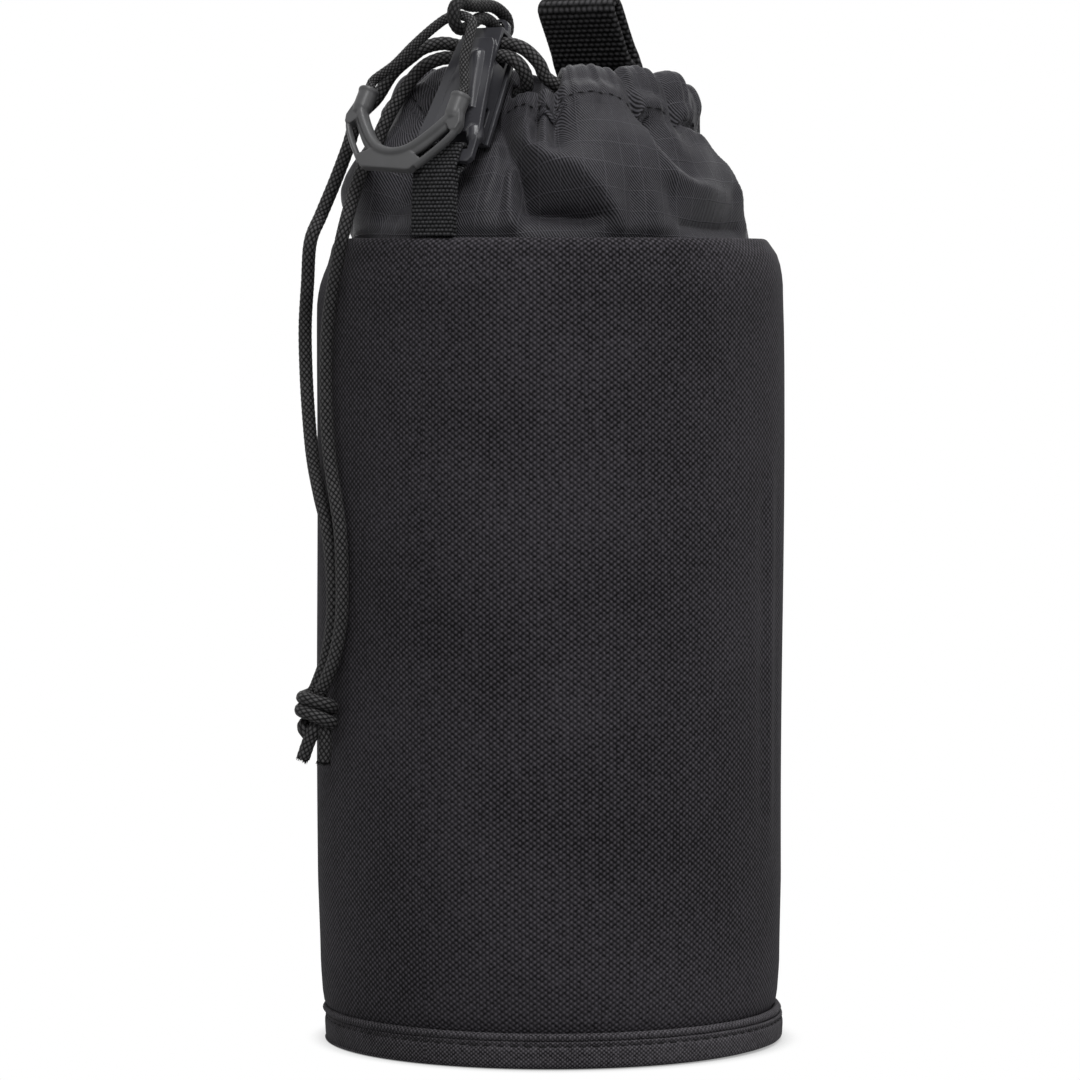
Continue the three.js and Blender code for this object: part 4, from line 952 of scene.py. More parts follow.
def puckers(azimuth, t):
    """Small wrinkles: short ones that hang from the seam, and faint ones all over."""
    a = azimuth * DEG
    seam = smooth(0.8, 0.97, t) * seam_ripple(azimuth, 0.16, 0.1)
    slack = 0.16 * np.sin(17 * a + 9 * t) * np.sin(13 * t - 5 * a)
    slack += 0.1 * np.sin(29 * a - 15 * t + 1.3 * np.sin(7 * a))
    return (seam + slack * smooth(RIM_T, 0.45, t)) * free_of_straps(azimuth)


def collar_shape():
    """The collar's middle surface as rows of points from the skirt's foot to the lips."""
    azimuths = np.arange(COLLAR_COLUMNS) * 360.0 / COLLAR_COLUMNS
    heights = np.linspace(0, 1, COLLAR_ROWS)
    out = creased(azimuths, heights)
    rows = np.zeros((COLLAR_ROWS, COLLAR_COLUMNS, 3))
    for j, azimuth in enumerate(azimuths):
        length = lengths_along(collar_side(azimuth)[:8])[-1]
        short = PINCH * float(pinch(azimuth)) / length
        for i, t in enumerate(heights):
            off = out[i, j] + float(puckers(azimuth, t))
            r, z = dome_point(azimuth, t * (1 - short * float(smooth(0.5, 1.0, t))), off)
            r += float(rim_pull(azimuth, z)) * (1 - float(smooth(RIM_Z + 2, RIM_Z + 14, z)))
            rows[i, j] = around(azimuth, r, z)
    return rows


def relax(rows, rounds):
    """Evens out single points that stand off their neighbours."""
    for _ in range(rounds):
        beside = (np.roll(rows, 1, axis=1) + np.roll(rows, -1, axis=1)) / 2
        above = rows.copy()
        above[1:-1] = (rows[:-2] + rows[2:]) / 2
        middle = rows / 2 + (beside + above) / 4
        rows = np.concatenate([rows[:1], middle[1:-1], rows[-1:]])
    return rows


def grid_normals(rows):
    along = np.roll(rows, -1, axis=1) - np.roll(rows, 1, axis=1)
    up = np.gradient(rows, axis=0)
    normal = np.cross(along, up)
    return normal / np.linalg.norm(normal, axis=2, keepdims=True)


def thick_cloth(name, rows, thickness, u, v, keep):
    """A closed cloth round wrapped rows of middle points, without the cells that keep leaves out."""
    n, m = rows.shape[:2]
    normal = grid_normals(rows) * thickness / 2
    points = np.concatenate([(rows + normal).reshape(-1, 3), (rows - normal).reshape(-1, 3)])
    under = n * m
    faces = []
    uvs = []

    def corner(i, j, side=0):
        return side * under + i * m + j % m

    def add(indices, places):
        faces.append(indices)
        uvs.extend(places)

    for i in range(n - 1):
        for j in range(m):
            if not keep[i, j]:
                continue
            ring = [(i, j), (i, j + 1), (i + 1, j + 1), (i + 1, j)]
            places = [(u[b], v[a]) for a, b in ring]
            add([corner(a, b) for a, b in ring], places)
            add([corner(a, b, 1) for a, b in ring[::-1]], places[::-1])
            beyond = [
                i > 0 and keep[i - 1, j],
                keep[i, (j + 1) % m],
                i < n - 2 and keep[i + 1, j],
                keep[i, (j - 1) % m],
            ]
            for side, kept in enumerate(beyond):
                if kept:
                    continue
                after = (side + 1) % 4
                a, b = ring[side], ring[after]
                (ua, va), (ub, vb) = places[side], places[after]
                wall = [corner(*b), corner(*a), corner(*a, 1), corner(*b, 1)]
                add(wall, [(ub, vb), (ua, va), (ua, va + 0.2), (ub, vb + 0.2)])
    used, back = np.unique(np.concatenate([np.array(f) for f in faces]), return_inverse=True)
    renumbered = []
    place = 0
    for face in faces:
        renumbered.append(tuple(int(k) for k in back[place : place + len(face)]))
        place += len(face)
    return build(name, points[used], renumbered, uvs)


# Hem: the collar's cloth folded in over the drawcord

LIP_WAVES = 12
LIP_RIPPLE = 0.5
HEM_H = 11.8  # from its lips to its top


def hem_frame(azimuth):
    """The hem at an azimuth: its lips, its direction up and its outward normal, as [radius, height]."""
    lips, top = collar_side(azimuth)[7:9]
    up = (top - lips) / np.linalg.norm(top - lips)
    a = signed(azimuth)
    flat = smooth(12, 34, abs(a)) * (1 - smooth(140, 158, abs(a)))
    ripple = LIP_RIPPLE * flat * math.cos(LIP_WAVES * azimuth * DEG)
    return lips + [ripple, 0], up, np.array([up[1], -up[0]])


def hem_point(azimuth, along, outward):
    lips, up, out = hem_frame(azimuth)
    r, z = lips + along * up + outward * out
    return around(azimuth, r, z)


HEM_ROWS = 46
HEM_FULL = 1.02  # how full the outer ply stands over the cord, and what a pleat takes off or a swell adds
HEM_SWELL = 0.36
HEM_TIGHT = 0.72  # the least that a pleat leaves of it


def hem_section(azimuth):
    """The hem's fold, along it and outward: from the outer ply's foot over the top to the inner ply's."""
    g = float(gather(azimuth))
    phi = np.linspace(0, 2 * math.pi, HEM_ROWS)
    lean = float(flattened(azimuth))
    half = HEM_H / 2 + 0.35 * g - 0.5 * lean
    t = np.clip(phi / math.pi, 0, 1)
    full = max(HEM_FULL + HEM_SWELL * g + seam_ripple(azimuth, 0.07, 0.05), HEM_TIGHT)
    corners = np.array([[0, 0], [4.6, 3.2 * full], [2 * half + 0.3, 4.8 * full - 0.8 * lean], [2 * half, 0]])
    shares = np.stack([(1 - t) ** 3, 3 * (1 - t) ** 2 * t, 3 * (1 - t) * t**2, t**3], axis=1)
    along, outer = (shares @ corners).T
    along = np.where(phi <= math.pi, along, half * (1 - np.cos(phi)))
    round_ = np.sqrt(np.clip(1 - (1 - along / half) ** 2, 0, 1)) ** 0.75
    inner_depth = (2.3 + 0.45 * g) * round_
    inner = -inner_depth - 0.6 * smooth(1.55 * math.pi, 2 * math.pi, phi)
    # beside the lock the drawcord comes out over the hem, and the outer ply lies back against the inner one
    away = signed(azimuth)
    pressed = float(smooth(12.5, 17, away) * (1 - smooth(33, 39, away)))
    back = smooth(2.6, 4.8, along)
    outer = mix(outer, mix(outer, 0.6 - inner_depth, back), pressed)
    return along, np.where(phi <= math.pi, outer, inner)


def near_cord(points, cord, reach):
    flat = points.reshape(-1, 3)
    nearest = np.full(len(flat), 1e9)
    for p in cord:
        nearest = np.minimum(nearest, ((flat - p) ** 2).sum(axis=1))
    return (nearest < reach**2).reshape(points.shape[:2])


def clear_of_cord(points, cord, azimuths, reach):
    """Moves rows of points straight away from a cord, but not where it comes out, from 10 to 44 degrees."""
    a = signed(azimuths)
    held = 1 - smooth(6, 10, a) * (1 - smooth(44, 50, a))
    for row in points:
        apart = row[:, None] - cord[None]
        far = np.linalg.norm(apart, axis=2)
        nearest = far.argmin(axis=1)
        columns = np.arange(len(row))
        distance = far[columns, nearest]
        push = held * np.clip(reach - distance, 0, None) / distance
        row += apart[columns, nearest] * push[:, None]


SOFTEN_ROUNDS = 3
CORD_ROOM = 0.45  # from the hem's plies to the drawcord, and from the drawcord to the hole it comes out of
CORD_HOLE = 0.25
INNER_TAIL = [(-0.7, -1.2), (-1.4, -1.8)]  # the inner ply's edge below the lips, along the hem and outward


def collar_cloth(cord):
    """The collar and its hem in one sheet, open where the cord comes out; returns the collar's own rows."""
    collar = relax(collar_shape(), SOFTEN_ROUNDS)
    azimuths = np.arange(COLLAR_COLUMNS) * 360.0 / COLLAR_COLUMNS
    hem = np.zeros((HEM_ROWS + len(INNER_TAIL), COLLAR_COLUMNS, 3))
    for j, azimuth in enumerate(azimuths):
        section = [*zip(*hem_section(azimuth)), *INNER_TAIL]
        shift = collar[-1, j] - hem_point(azimuth, 0, 0)
        for i, (along, outward) in enumerate(section):
            fade = 1 - float(smooth(0.3, 5.0, along))
            hem[i, j] = hem_point(azimuth, along, outward) + shift * fade
    against = CORD_D / 2 + CLOTH_T / 2
    clear_of_cord(hem, cord, azimuths, against + CORD_ROOM)
    rows = np.concatenate([collar, hem[1:]])
    centres = (rows[:-1] + rows[1:]) / 2
    centres = (centres + np.roll(centres, -1, axis=1)) / 2
    keep = ~near_cord(centres, cord, against + CORD_HOLE)
    u = np.linspace(0, 2 * math.pi * SKIRT_R, COLLAR_COLUMNS + 1)
    v = lengths_along(rows[:, COLLAR_COLUMNS // 4])
    piece = thick_cloth("collar_cloth", rows, CLOTH_T, u, v, keep)
    dress(piece, "pouch", COLLAR, "collar_cloth", "collar", "collar_hem")
    return collar


HEM_STITCH = 2.3  # pitch of the seam's stitches


def hem_stitches(rows):
    """The seam that closes the hem, just above its lips."""
    line = rows[-1]
    out = grid_normals(rows)[-1]
    out = out * np.sign((out * line * [1, 1, 0]).sum(axis=1).mean())
    total = lengths_along(np.vstack([line, line[:1]]))
    seats = []
    for s in np.arange(0, total[-1], HEM_STITCH):
        k = int(np.searchsorted(total, s)) % len(line)
        azimuth = signed(math.degrees(math.atan2(line[k][0], -line[k][1])))
        if abs(azimuth) < 12 or abs(azimuth) > 155:
            continue
        ahead = line[(k + 1) % len(line)] - line[k - 1]
        seats.append((line[k] + out[k] * (CLOTH_T / 2 + 0.02), ahead, out[k]))
    stitches("hem_seam", seats, "pouch", "collar_cloth", length=1.55, width=0.34, rise=0.1)


# Cords

CORD_D = 3.0
LEASH_D = 2.8
PULL_CORD_D = 2.2
LOCK_PLACE = np.array([1.0, -28.3, 216.0])
LOCK_TURN = np.array(Matrix.Rotation(61 * DEG, 3, "X"))
PULL_TURN = LOCK_TURN @ np.array(Matrix.Rotation(-4.5 * DEG, 3, "Z"))


def on_lock(*points):
    """Points of the lock's own frame: X across, Y up along it and Z out of its front."""
    return np.array(points, float) @ LOCK_TURN.T + LOCK_PLACE


PULL_PLACE = on_lock([-8.9, -14.4, 7.25])[0]


def on_pull(*points):
    """Points of the grip's own frame: its socket mouths are at y = 0 and it hangs down -y."""
    return np.array(points, float) @ PULL_TURN.T + PULL_PLACE


LOCK_LEFT = -4.2
LOCK_RIGHT = 7.5
UPPER = on_lock([0, 1.55, 0])[0]
LOWER = on_lock([0, -1.55, 0])[0]
HEM_CORD = 6.8
INTO_HEM = [[9.6, 1.3, 0.2], [12, 3.1, -2.8], [12.8, 4.7, -5.8]]
OUT_OF_HEM = [[6, 4.6, -9.2], [8.4, 3.5, -8], [9.8, 1.4, -5.6], [9.2, -0.4, -3]]


def drawcord_route():
    """Through the lock's upper bore, round inside the hem and back through the lower bore."""
    through = [LOCK_LEFT, LOCK_PLACE[0], LOCK_RIGHT]
    in_hem = [hem_point(mix(41, 372, i / 24), HEM_CORD, 0) for i in range(25)]
    points = [
        *[[x, *UPPER[1:]] for x in through],
        *(np.array(INTO_HEM) + LOCK_PLACE),
        *in_hem,
        *(np.array(OUT_OF_HEM) + LOCK_PLACE),
        *[[x, *LOWER[1:]] for x in through[::-1]],
    ]
    return route(points, 0.33)


STRAND_A = [
    [LOCK_LEFT - 0.3, *UPPER[1:]], [LOCK_LEFT - 1.8, *UPPER[1:]], [-8.9, -29.0, 217.9],
    [-12.9, -30.6, 217.0], [-15.8, -30.8, 215.3], [-20.9, -30.8, 211.7], [-25.0, -31.0, 206.4],
    [-29.5, -31.4, 202.2], [-32.4, -31.2, 195.7], [-35.6, -31.4, 188.5], [-38.4, -32.8, 181.1],
    [-38.9, -36.0, 175.7], [-40.5, -35.0, 166.1], [-42.8, -32.6, 157.0], [-42.8, -32.4, 148.4],
    [-40.6, -34.6, 138.0], [-37.2, -37.9, 128.3], [-32.6, -41.9, 120.3], [-28.8, -44.6, 113.5],
    [-26.6, -46.0, 103.8], [-26.6, -46.0, 93.4], [-28.6, -45.6, 85.0], [-31.0, -45.8, 79.0],
]
STRAND_B = [
    [LOCK_LEFT - 0.3, *LOWER[1:]], [LOCK_LEFT - 1.8, *LOWER[1:]], [-8.2, -29.8, 214.7],
    [-11.0, -30.9, 213.8], [-13.6, -31.2, 212.2], [-16.5, -32.4, 208.4], [-18.8, -34.3, 203.6],
    [-20.0, -35.9, 199.9], [-20.8, -38.0, 195.5], [-21.8, -40.8, 191.2], [-22.2, -44.4, 184.6],
    [-22.4, -48.0, 176.4], [-24.9, -46.9, 168.9], [-27.9, -45.2, 159.2], [-29.2, -44.4, 148.7],
    [-29.0, -44.5, 138.3], [-27.6, -45.4, 128.6], [-25.2, -46.8, 120.5], [-23.4, -47.7, 113.6],
    [-22.6, -48.1, 104.0], [-22.8, -48.2, 93.6], [-24.8, -48.2, 85.0], [-27.8, -48.2, 78.9],
]


def hanging_strand(name, points, node):
    path = route(points, 0.33)
    piece = braided(name, path, CORD_D)
    dress(piece, "pouch", DRAWCORD, "cord", node)
    coarse = (path[::12] * MM).tolist()
    if (len(path) - 1) % 12:
        coarse.append((path[-1] * MM).tolist())


KNOT = np.array([-29.4, -47.6, 73.6])
# The knot's turns from its middle: across to the right, towards the camera and up
KNOT_WRAPS = [
    [-0.4, -2.4, 5.5], [-1.1, -2.6, 4.3], [-2.4, -2.2, 3.6], [-3.2, -0.4, 3.4], [-2.2, 1.6, 3.2],
    [0.2, 2.5, 2.6], [2.5, 1.8, 1.9], [3.2, 0.2, 1.2], [1.8, -2.2, 0.9], [-0.8, -3.0, 1.0],
    [-3.0, -1.6, 1.0], [-3.5, 0.6, 0.7], [-1.8, 2.4, 0.2], [0.9, 2.8, -0.8], [2.9, 1.4, -1.9],
    [2.6, -0.9, -2.5], [0.2, -2.0, -2.4], [-2.2, -1.6, -2.0], [-3.0, -0.2, -3.0], [-1.8, 0.2, -4.6],
    [-0.2, -0.3, -4.0], [0.3, -0.2, -2.2],
]
KNOT_CORE = [[1.04, 1.36, 5.4], [0.7, 0.6, 4.2], [0.3, -0.3, 2.8], [0.1, -0.2, 1.0], [0.1, 0.1, -0.8]]
KNOT_TAILS = [
    [[0.0, 0.3, -1.6], [-0.7, 1.2, -3.4], [-2.0, 1.0, -6.4], [-3.1, 0.6, -9.6]],
    [[0.6, 0.2, -1.6], [1.5, 1.0, -3.6], [1.7, 1.0, -6.6], [1.35, 0.7, -10.4]],
]


def knot():
    a = CAMERA_AZIMUTH * DEG
    turn = np.array([[math.cos(a), math.sin(a), 0], [math.sin(a), -math.cos(a), 0], [0, 0, 1]])
    parts = []
    for turns in (KNOT_WRAPS, KNOT_CORE, *KNOT_TAILS):
        path = route(np.array(turns) @ turn + KNOT, 0.3)
        parts.append(braided("knot_part", path, CORD_D))
        if turns in KNOT_TAILS:
            parts.append(frayed(path[-1], path[-1] - path[-6]))
    piece = joined("drawcord_knot_turns", parts)
    dress(piece, "pouch", DRAWCORD, "cord", "drawcord_knot")
    return piece


FRAY_HAIRS = 130


def frayed(end, ahead):
    """The cut end of a cord, with loose filaments standing out of it."""
    ahead = ahead / np.linalg.norm(ahead)
    side = np.cross(ahead, [0.0, 1.0, 0.0])
    side /= np.linalg.norm(side)
    other = np.cross(ahead, side)
    pick = random.Random(int(abs(end[0]) * 100))
    hairs = []
    for _ in range(FRAY_HAIRS):
        a = pick.uniform(0, 2 * math.pi)
        r = 1.25 * math.sqrt(pick.uniform(0, 1))
        spread = side * math.cos(a) + other * math.sin(a)
        root = end - ahead * 0.3 + spread * r
        length = pick.uniform(0.5, 1.2)
        tip = root + ahead * length + spread * length * pick.uniform(0.0, 0.5)
        path = np.array([root, (root + tip) / 2 + spread * 0.08, tip])
        rows = rings_along(path, np.array([[0.08], [0.07], [0.04]]) * np.ones(4), 4)
        hairs.append(skin("hair", rows, wrap=True, caps=True, u=np.zeros(5), v=np.zeros(3)))
    return joined("hairs", hairs)


LEASH_MID = -2.45
LEASH_SIDE = [
    [6.6, LEASH_MID], [6.7, LEASH_MID - 2.3], [8.7, LEASH_MID - 3.4], [10.6, LEASH_MID - 2.0],
    [10.9, LEASH_MID + 0.8], [10.1, 1.8], [8.2, 5.2], [5.6, 9.6], [4.2, 13.0], [2.1, 14.5],
    [-0.2, 13.6], [-0.9, 11.0], [0.6, 8.5], [5.3, 4.8], [6.8, 1.0],
]


def leash():
    path = route(on_lock(*[[0, along, out] for along, out in LEASH_SIDE]), 0.3, closed=True)[:-1]
    piece = braided("leash_cord", path, LEASH_D, closed=True)
    dress(piece, "leash", LEASH, "cord", "leash_loop")


SOCKET_X = 12.1
CORD_SEAT = 3
OVER_LEASH = [
    [2.9, -12.3, -2.5], [3.4, -11.1, 2.5], [3.2, -9.8, 5.9], [0, -9.2, 7.3], [-3.2, -9.1, 6.9],
    [-6.2, -9, 5.4], [-11.5, -9.7, 1.3], [-15.9, -10.9, -3],
]


def pull_cord():
    right = on_pull([SOCKET_X, -CORD_SEAT, 0], [SOCKET_X, 0, 0], [SOCKET_X, 2, 0])
    left = on_pull([-SOCKET_X, 2, 0], [-SOCKET_X, 0, 0], [-SOCKET_X, -CORD_SEAT, 0])
    path = route([*right, *(np.array(OVER_LEASH) + LOCK_PLACE), *left], 0.25)
    piece = braided("pull_loop", path, PULL_CORD_D, sides=28, depth=0.1)
    dress(piece, "pull", PULL_THREAD, "cord", "pull_cord")


# Lock and pull


def in_place(piece, turn, place):
    """Moves a piece from its own frame, in millimetres, to its place."""
    matrix = Matrix(turn.tolist()).to_4x4()
    matrix.translation = Vector(place.tolist()) * MM
    piece.data.transform(matrix)


def flat_tube(points, across, deep, sides=20):
    """A capped tube along points of a plane: half as wide as across in the plane, and as deep out of it."""
    points = np.asarray(points, float)
    path = route(points, 0.35)
    place = lengths_along(points)
    along = lengths_along(path) / lengths_along(path)[-1] * place[-1]
    across, deep = (np.interp(along, place, np.broadcast_to(x, len(points)))[:, None] for x in (across, deep))
    a = np.arange(sides) / sides * 2 * math.pi
    reach = 1 / np.sqrt((np.cos(a) / across) ** 2 + (np.sin(a) / deep) ** 2)
    return skin("tube", rings_along(path, reach, sides), wrap=True, caps=True)


def round_tube(points, radius, sides):
    return flat_tube(points, radius, radius, sides)


def slab(outline, half):
    """A flat plate of a moulding, from its outline."""
    n = len(outline)
    points = [[x, y, z] for z in (-half, half) for x, y in outline]
    faces = [tuple(range(n))[::-1], tuple(range(n, 2 * n))]
    faces += [(k, (k + 1) % n, n + (k + 1) % n, n + k) for k in range(n)]
    return build("slab", points, faces)


def mirrored(line):
    """The other half of a line or outline that is alike on both sides, from its middle on."""
    return [[-x, y] for x, y in line[::-1]]


def socket(sign):
    """A round socket with a bore for the cord's end."""
    profile = [(1.4, -3.3), (1.4, -0.1), (1.6, 0.1), (2.1, 0.05), (2.3, -0.2), (2.3, -0.7), (2.12, -1.1)]
    profile += [(2.1, -4.6), (1.8, -5.8), (1.0, -6.6), (0.3, -6.8)]
    a = np.arange(28) / 28 * 2 * math.pi
    rows = [[[sign * SOCKET_X + r * math.cos(t), y, r * math.sin(t)] for t in a] for r, y in profile]
    return skin("socket", rows, wrap=True, caps=True)


RIB_LINE = [[12.1, -3.6], [11.8, -5.2], [10.5, -7.3], [8.5, -9.8], [6.1, -12.4], [3.4, -14.3], [0, -15.0]]
ARM_LINE = [[12.6, -5.0], [11.3, -7.6], [9.2, -10.3], [6.9, -13.0], [4.2, -15.2]]
EDGE_LINE = [[13.6, -4.2], [14.3, -6.6], [13.7, -9.2], [11.7, -12.4], [9.2, -15.4], [7.2, -17.7]]
FOOT_OUTLINE = [[7.9, -15.8], [8.1, -16.6], [6.6, -18.7], [6.0, -19.0]]
SHOULDER = [[12.2, -3.4], [13.9, -3.6], [14.9, -6.8], [14.5, -8.6], [13.0, -8.9], [11.4, -7.2]]


def pull_stirrup():
    """The pull's grip: a round rib from socket to socket, and a plate behind it with a slot each side."""
    rib = [*RIB_LINE, *mirrored(RIB_LINE[:-1])]
    foot = [[0, -14.6], [4.2, -14.2], *FOOT_OUTLINE, *mirrored(FOOT_OUTLINE), [-4.2, -14.2]]
    parts = [flat_tube([[x, y, 0] for x, y in rib], 1.2, 1.8), slab(foot, 1.1)]
    for sign in (1, -1):
        parts.append(socket(sign))
        parts.append(slab([[sign * x, y] for x, y in SHOULDER], 1.25))
        parts.append(flat_tube([[sign * x, y, 0] for x, y in ARM_LINE], 1.15, 0.95))
        parts.append(flat_tube([[sign * x, y, 0] for x, y in EDGE_LINE], 0.62, 1.1))
    grip = moulded("pull_stirrup", parts, voxel=0.13, rounds=20)
    in_place(grip, PULL_TURN, PULL_PLACE)
    dress(grip, "pull", GRIP, "pull_plastic", "pull_grip")


def lock_shell():
    """The lock's housing, with a swelling front and the spring's barrel down its right side."""
    middle = [[0.2, 1.0, 3.0], [0.0, -9, 3.0], [-0.4, -21.2, 3.0]]
    side = [[0.6, -1.6, 2.6], [0.9, -3.0, 3.0], [1.8, -8, 3.1], [3.6, -16.4, 2.8]]
    end = [[5.1, -20.2, 2.4], [5.6, -21.2, 2.4], [6.2, -23.2, 2.4], [6.3, -24.6, 2.4]]
    parts = [
        flat_tube(middle, [3.4, 4.6, 6.0], [0.7, 1.15, 1.0], 28),
        flat_tube(side, [1.4, 2.3, 2.2, 1.5], [1.0, 1.9, 1.9, 1.6], 28),
        round_tube([[3.6, -16, 2.6], [5.4, -21, 2.4]], 0.95, 24),
        round_tube(end, [1.4, 1.9, 1.9, 1.0], 28),
    ]
    for k in range(3):
        rib = [[4.1 + 0.3 * k + 0.1 * step, -17.4 - k - 0.4 * step, 2.5] for step in (-1, 0, 1)]
        parts.append(round_tube(rib, [0.9, 1.45, 0.9], 24))
    for part in parts:
        in_place(part, LOCK_TURN, LOCK_PLACE)
    piece = moulded("lock_shell", parts, voxel=0.13, rounds=6, node="lock_housing")
    dress(piece, "pouch", LOCK, "lock_plastic", "lock_housing")


def hardware():
    lock_shell()
    for name, node, body, voxel, rounds in (
        ("lock_back", "lock_back_plate", "pouch", 0.14, 6),
        ("lock_plunger", "lock_slider", "lock_slider", 0.13, 5),
    ):
        piece = moulded(name, [], voxel, rounds, node)
        dress(piece, body, LOCK, "lock_plastic", node)
    pull_stirrup()


COIL_R = 1.35
COIL_OUT = 0.2  # its axis in front of the lock's middle
WIRE_R = 0.25
COIL_SEATS = (-18.6, -12.5)
COIL_TURNS = 5


def spring():
    gap = CLEAR + WIRE_R
    y0, y1 = COIL_SEATS[0] + gap, COIL_SEATS[1] - gap
    points = []
    for t in np.linspace(0, 1, COIL_TURNS * 30 + 1):
        a = t * COIL_TURNS * 2 * math.pi
        points.append([COIL_R * math.cos(a), mix(y0, y1, t), COIL_OUT + COIL_R * math.sin(a)])
    piece = skin("lock_coil", rings_along(on_lock(*points), WIRE_R, 12), wrap=True, caps=True)
    dress(piece, "pouch", STEEL, "spring_steel", "lock_spring")
    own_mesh(piece)


# Webbing


def band(name, side, middle, width, thickness, rib, raised=0.13, taper=None):
    """Webbing along a side view of [y, z] points, with soft edges and ribs that stand out of both faces.
    taper gives the share of the width at each length along it."""
    path = route([[0, y, z] for y, z in side], rib / 5.5)
    along = lengths_along(path)
    ahead = np.gradient(path, axis=0)
    ahead /= np.linalg.norm(ahead, axis=1, keepdims=True)
    out = np.stack([np.zeros(len(path)), ahead[:, 2], -ahead[:, 1]], axis=1)
    across = max(8, int(width / (rib * 0.16)))
    edge = thickness / 2
    xs = np.linspace(-1, 1, across)
    face = [(x, 1.0, 0.0) for x in xs]
    cap = [(1.0, math.cos(t), math.sin(t)) for t in np.linspace(0, math.pi, 7)[1:-1]]
    section = [*face, *cap, *[(x, -1.0, 0.0) for x in xs[::-1]], *[(-1.0, -c, s) for _, c, s in cap]]
    rows = np.zeros((len(path), len(section), 3))
    share = np.ones(len(path)) if taper is None else np.array([taper(s) for s in along])
    row = np.floor(along / rib)
    crest = np.abs(np.sin(math.pi * along / rib)) ** 0.7
    inside = width / 2 - edge
    flat = np.array([[inside * x + np.sign(x) * edge * 0.9 * s, o * edge, 0] for x, o, s in section])
    place = lengths_along(np.vstack([flat, flat[:1]]))
    for k, (x, o, s) in enumerate(section):
        reach = inside * share * x + np.sign(x) * edge * 0.9 * s
        yarn = np.abs(np.sin(math.pi * (place[k] / (rib * YARN) + row * 0.5))) ** 0.8
        lift = raised * (crest * (0.3 + 0.7 * yarn) - 0.5) * (abs(o) if s == 0 else abs(o) * 0.6)
        rows[:, k] = path + out * (o * edge + np.sign(o) * lift)[:, None]
        rows[:, k, 0] = middle + reach
    return skin(name, rows, wrap=True, caps=True, u=place, v=along)


LOCK_STRAP_W = 10.6
LOCK_STRAP_T = 1.05


def lock_strap():
    """A loop of webbing round the lock's lower bar, both plies sewn down into the rim."""
    bar = np.array([-27.8, 2.95])

    def by_bar(along, out):
        p = on_lock([0, bar[0] + along, bar[1] + out])[0]
        return [p[1], p[2]]

    rim = -(RIM_R + FLAP_R - SHELL_T) / 2
    foot = RIM_Z + CLEAR
    side = [
        [rim - 0.62, foot],
        [rim - 0.5, foot + 4],
        by_bar(-4.2, 1.5),
        by_bar(-1.4, 1.68),
        by_bar(1.2, 1.68),
        by_bar(2.3, 1.0),
        by_bar(2.55, 0),
        by_bar(2.3, -1.0),
        by_bar(1.2, -1.68),
        by_bar(-1.4, -1.68),
        by_bar(-4.4, -0.3),
        [rim + 0.75, foot + 4],
        [rim + 0.62, foot],
    ]
    piece = band("lock_strap", side, LOCK_PLACE[0], LOCK_STRAP_W, LOCK_STRAP_T, STRAP_RIB, raised=0.2)
    dress(piece, "pouch", STRAP, "webbing", "lock_webbing")


HAUL_X = -3.6
HAUL_W = 20
HAUL_PLY = 1.6


def haul_strap():
    side = collar_side(180)[3:]
    lips, up, out = hem_frame(180.0)
    off = 0.4 + CLEAR + 0.5 + HAUL_PLY / 2
    path = [[side[0][0] + off, RIM_Z + 1.4]]
    path += [[r + off + 0.1, z + 0.3] for r, z in side[1:-2]]
    path.append(lips + 0.3 * up + (2.5 + HAUL_PLY / 2) * out)
    path.append(lips + 4.0 * up + (3.9 + HAUL_PLY / 2) * out)
    path.append(lips + 10.3 * up + (3.9 + HAUL_PLY / 2) * out)
    piece = band("haul_riser", [list(p) for p in path], HAUL_X, HAUL_W, HAUL_PLY, HAUL_RIB, raised=0.2)
    dress(piece, "pouch", HAUL, "haul_webbing", "haul_strap")


def haul_loop():
    half = (1.6 + HAUL_PLY) / 2
    top = 20 - half - HAUL_PLY / 2
    arc = [[half * math.cos(t), top + half * math.sin(t)] for t in np.linspace(0, math.pi, 7)]
    rise = [[0.9, 0.7], [1.0, 2.6], [half, 5.4], [half, 11]]
    side = [*rise, *arc, *mirrored(rise)]
    length = lengths_along(route([[0, y, z] for y, z in side], 0.2))[-1]

    def foot_share(s):
        return 1 + 0.09 * (1 - float(smooth(1, 7, min(s, length - s))))

    piece = band("haul_handle", side, 0.0, HAUL_W, HAUL_PLY, HAUL_RIB, 0.26, foot_share)
    place = np.array([HAUL_X, SKIRT_R - 17.5, RIM_Z + 36.2])
    in_place(piece, np.array(Matrix.Rotation(32 * DEG, 3, "X")), place)
    dress(piece, "haul_loop", HAUL, "haul_webbing", "haul_loop")


# Belt tab

TAB_W = 36
TAB_H = 108
TAB_TOP = RIM_Z - 16
TAB_BOTTOM = TAB_TOP - TAB_H
TAB_Y = span("tab_lining", "y")[0]
WEB_Y = span("tab_web", "y")
TAB_FOLD = TAB_TOP - 1.6
TAB_ROUND = 7
TAB_STITCH = 2.8
# The tab's fold from the anchor out over its top
FOLD_SIDE = [
    [56.45, 163.4], [56.5, 161.5], [57.4, 160.0], [59.0, 159.5], [60.3, 158.9],
    [60.75, 157.2], [60.75, 154.4],
]


def tab_share(height, half):
    """Share of the tab's half width at a height, where its lower corners are round."""
    low = height - TAB_BOTTOM
    if low >= TAB_ROUND:
        return 1.0
    return (half - TAB_ROUND + math.sqrt(max(0.0, TAB_ROUND**2 - (TAB_ROUND - low) ** 2))) / half


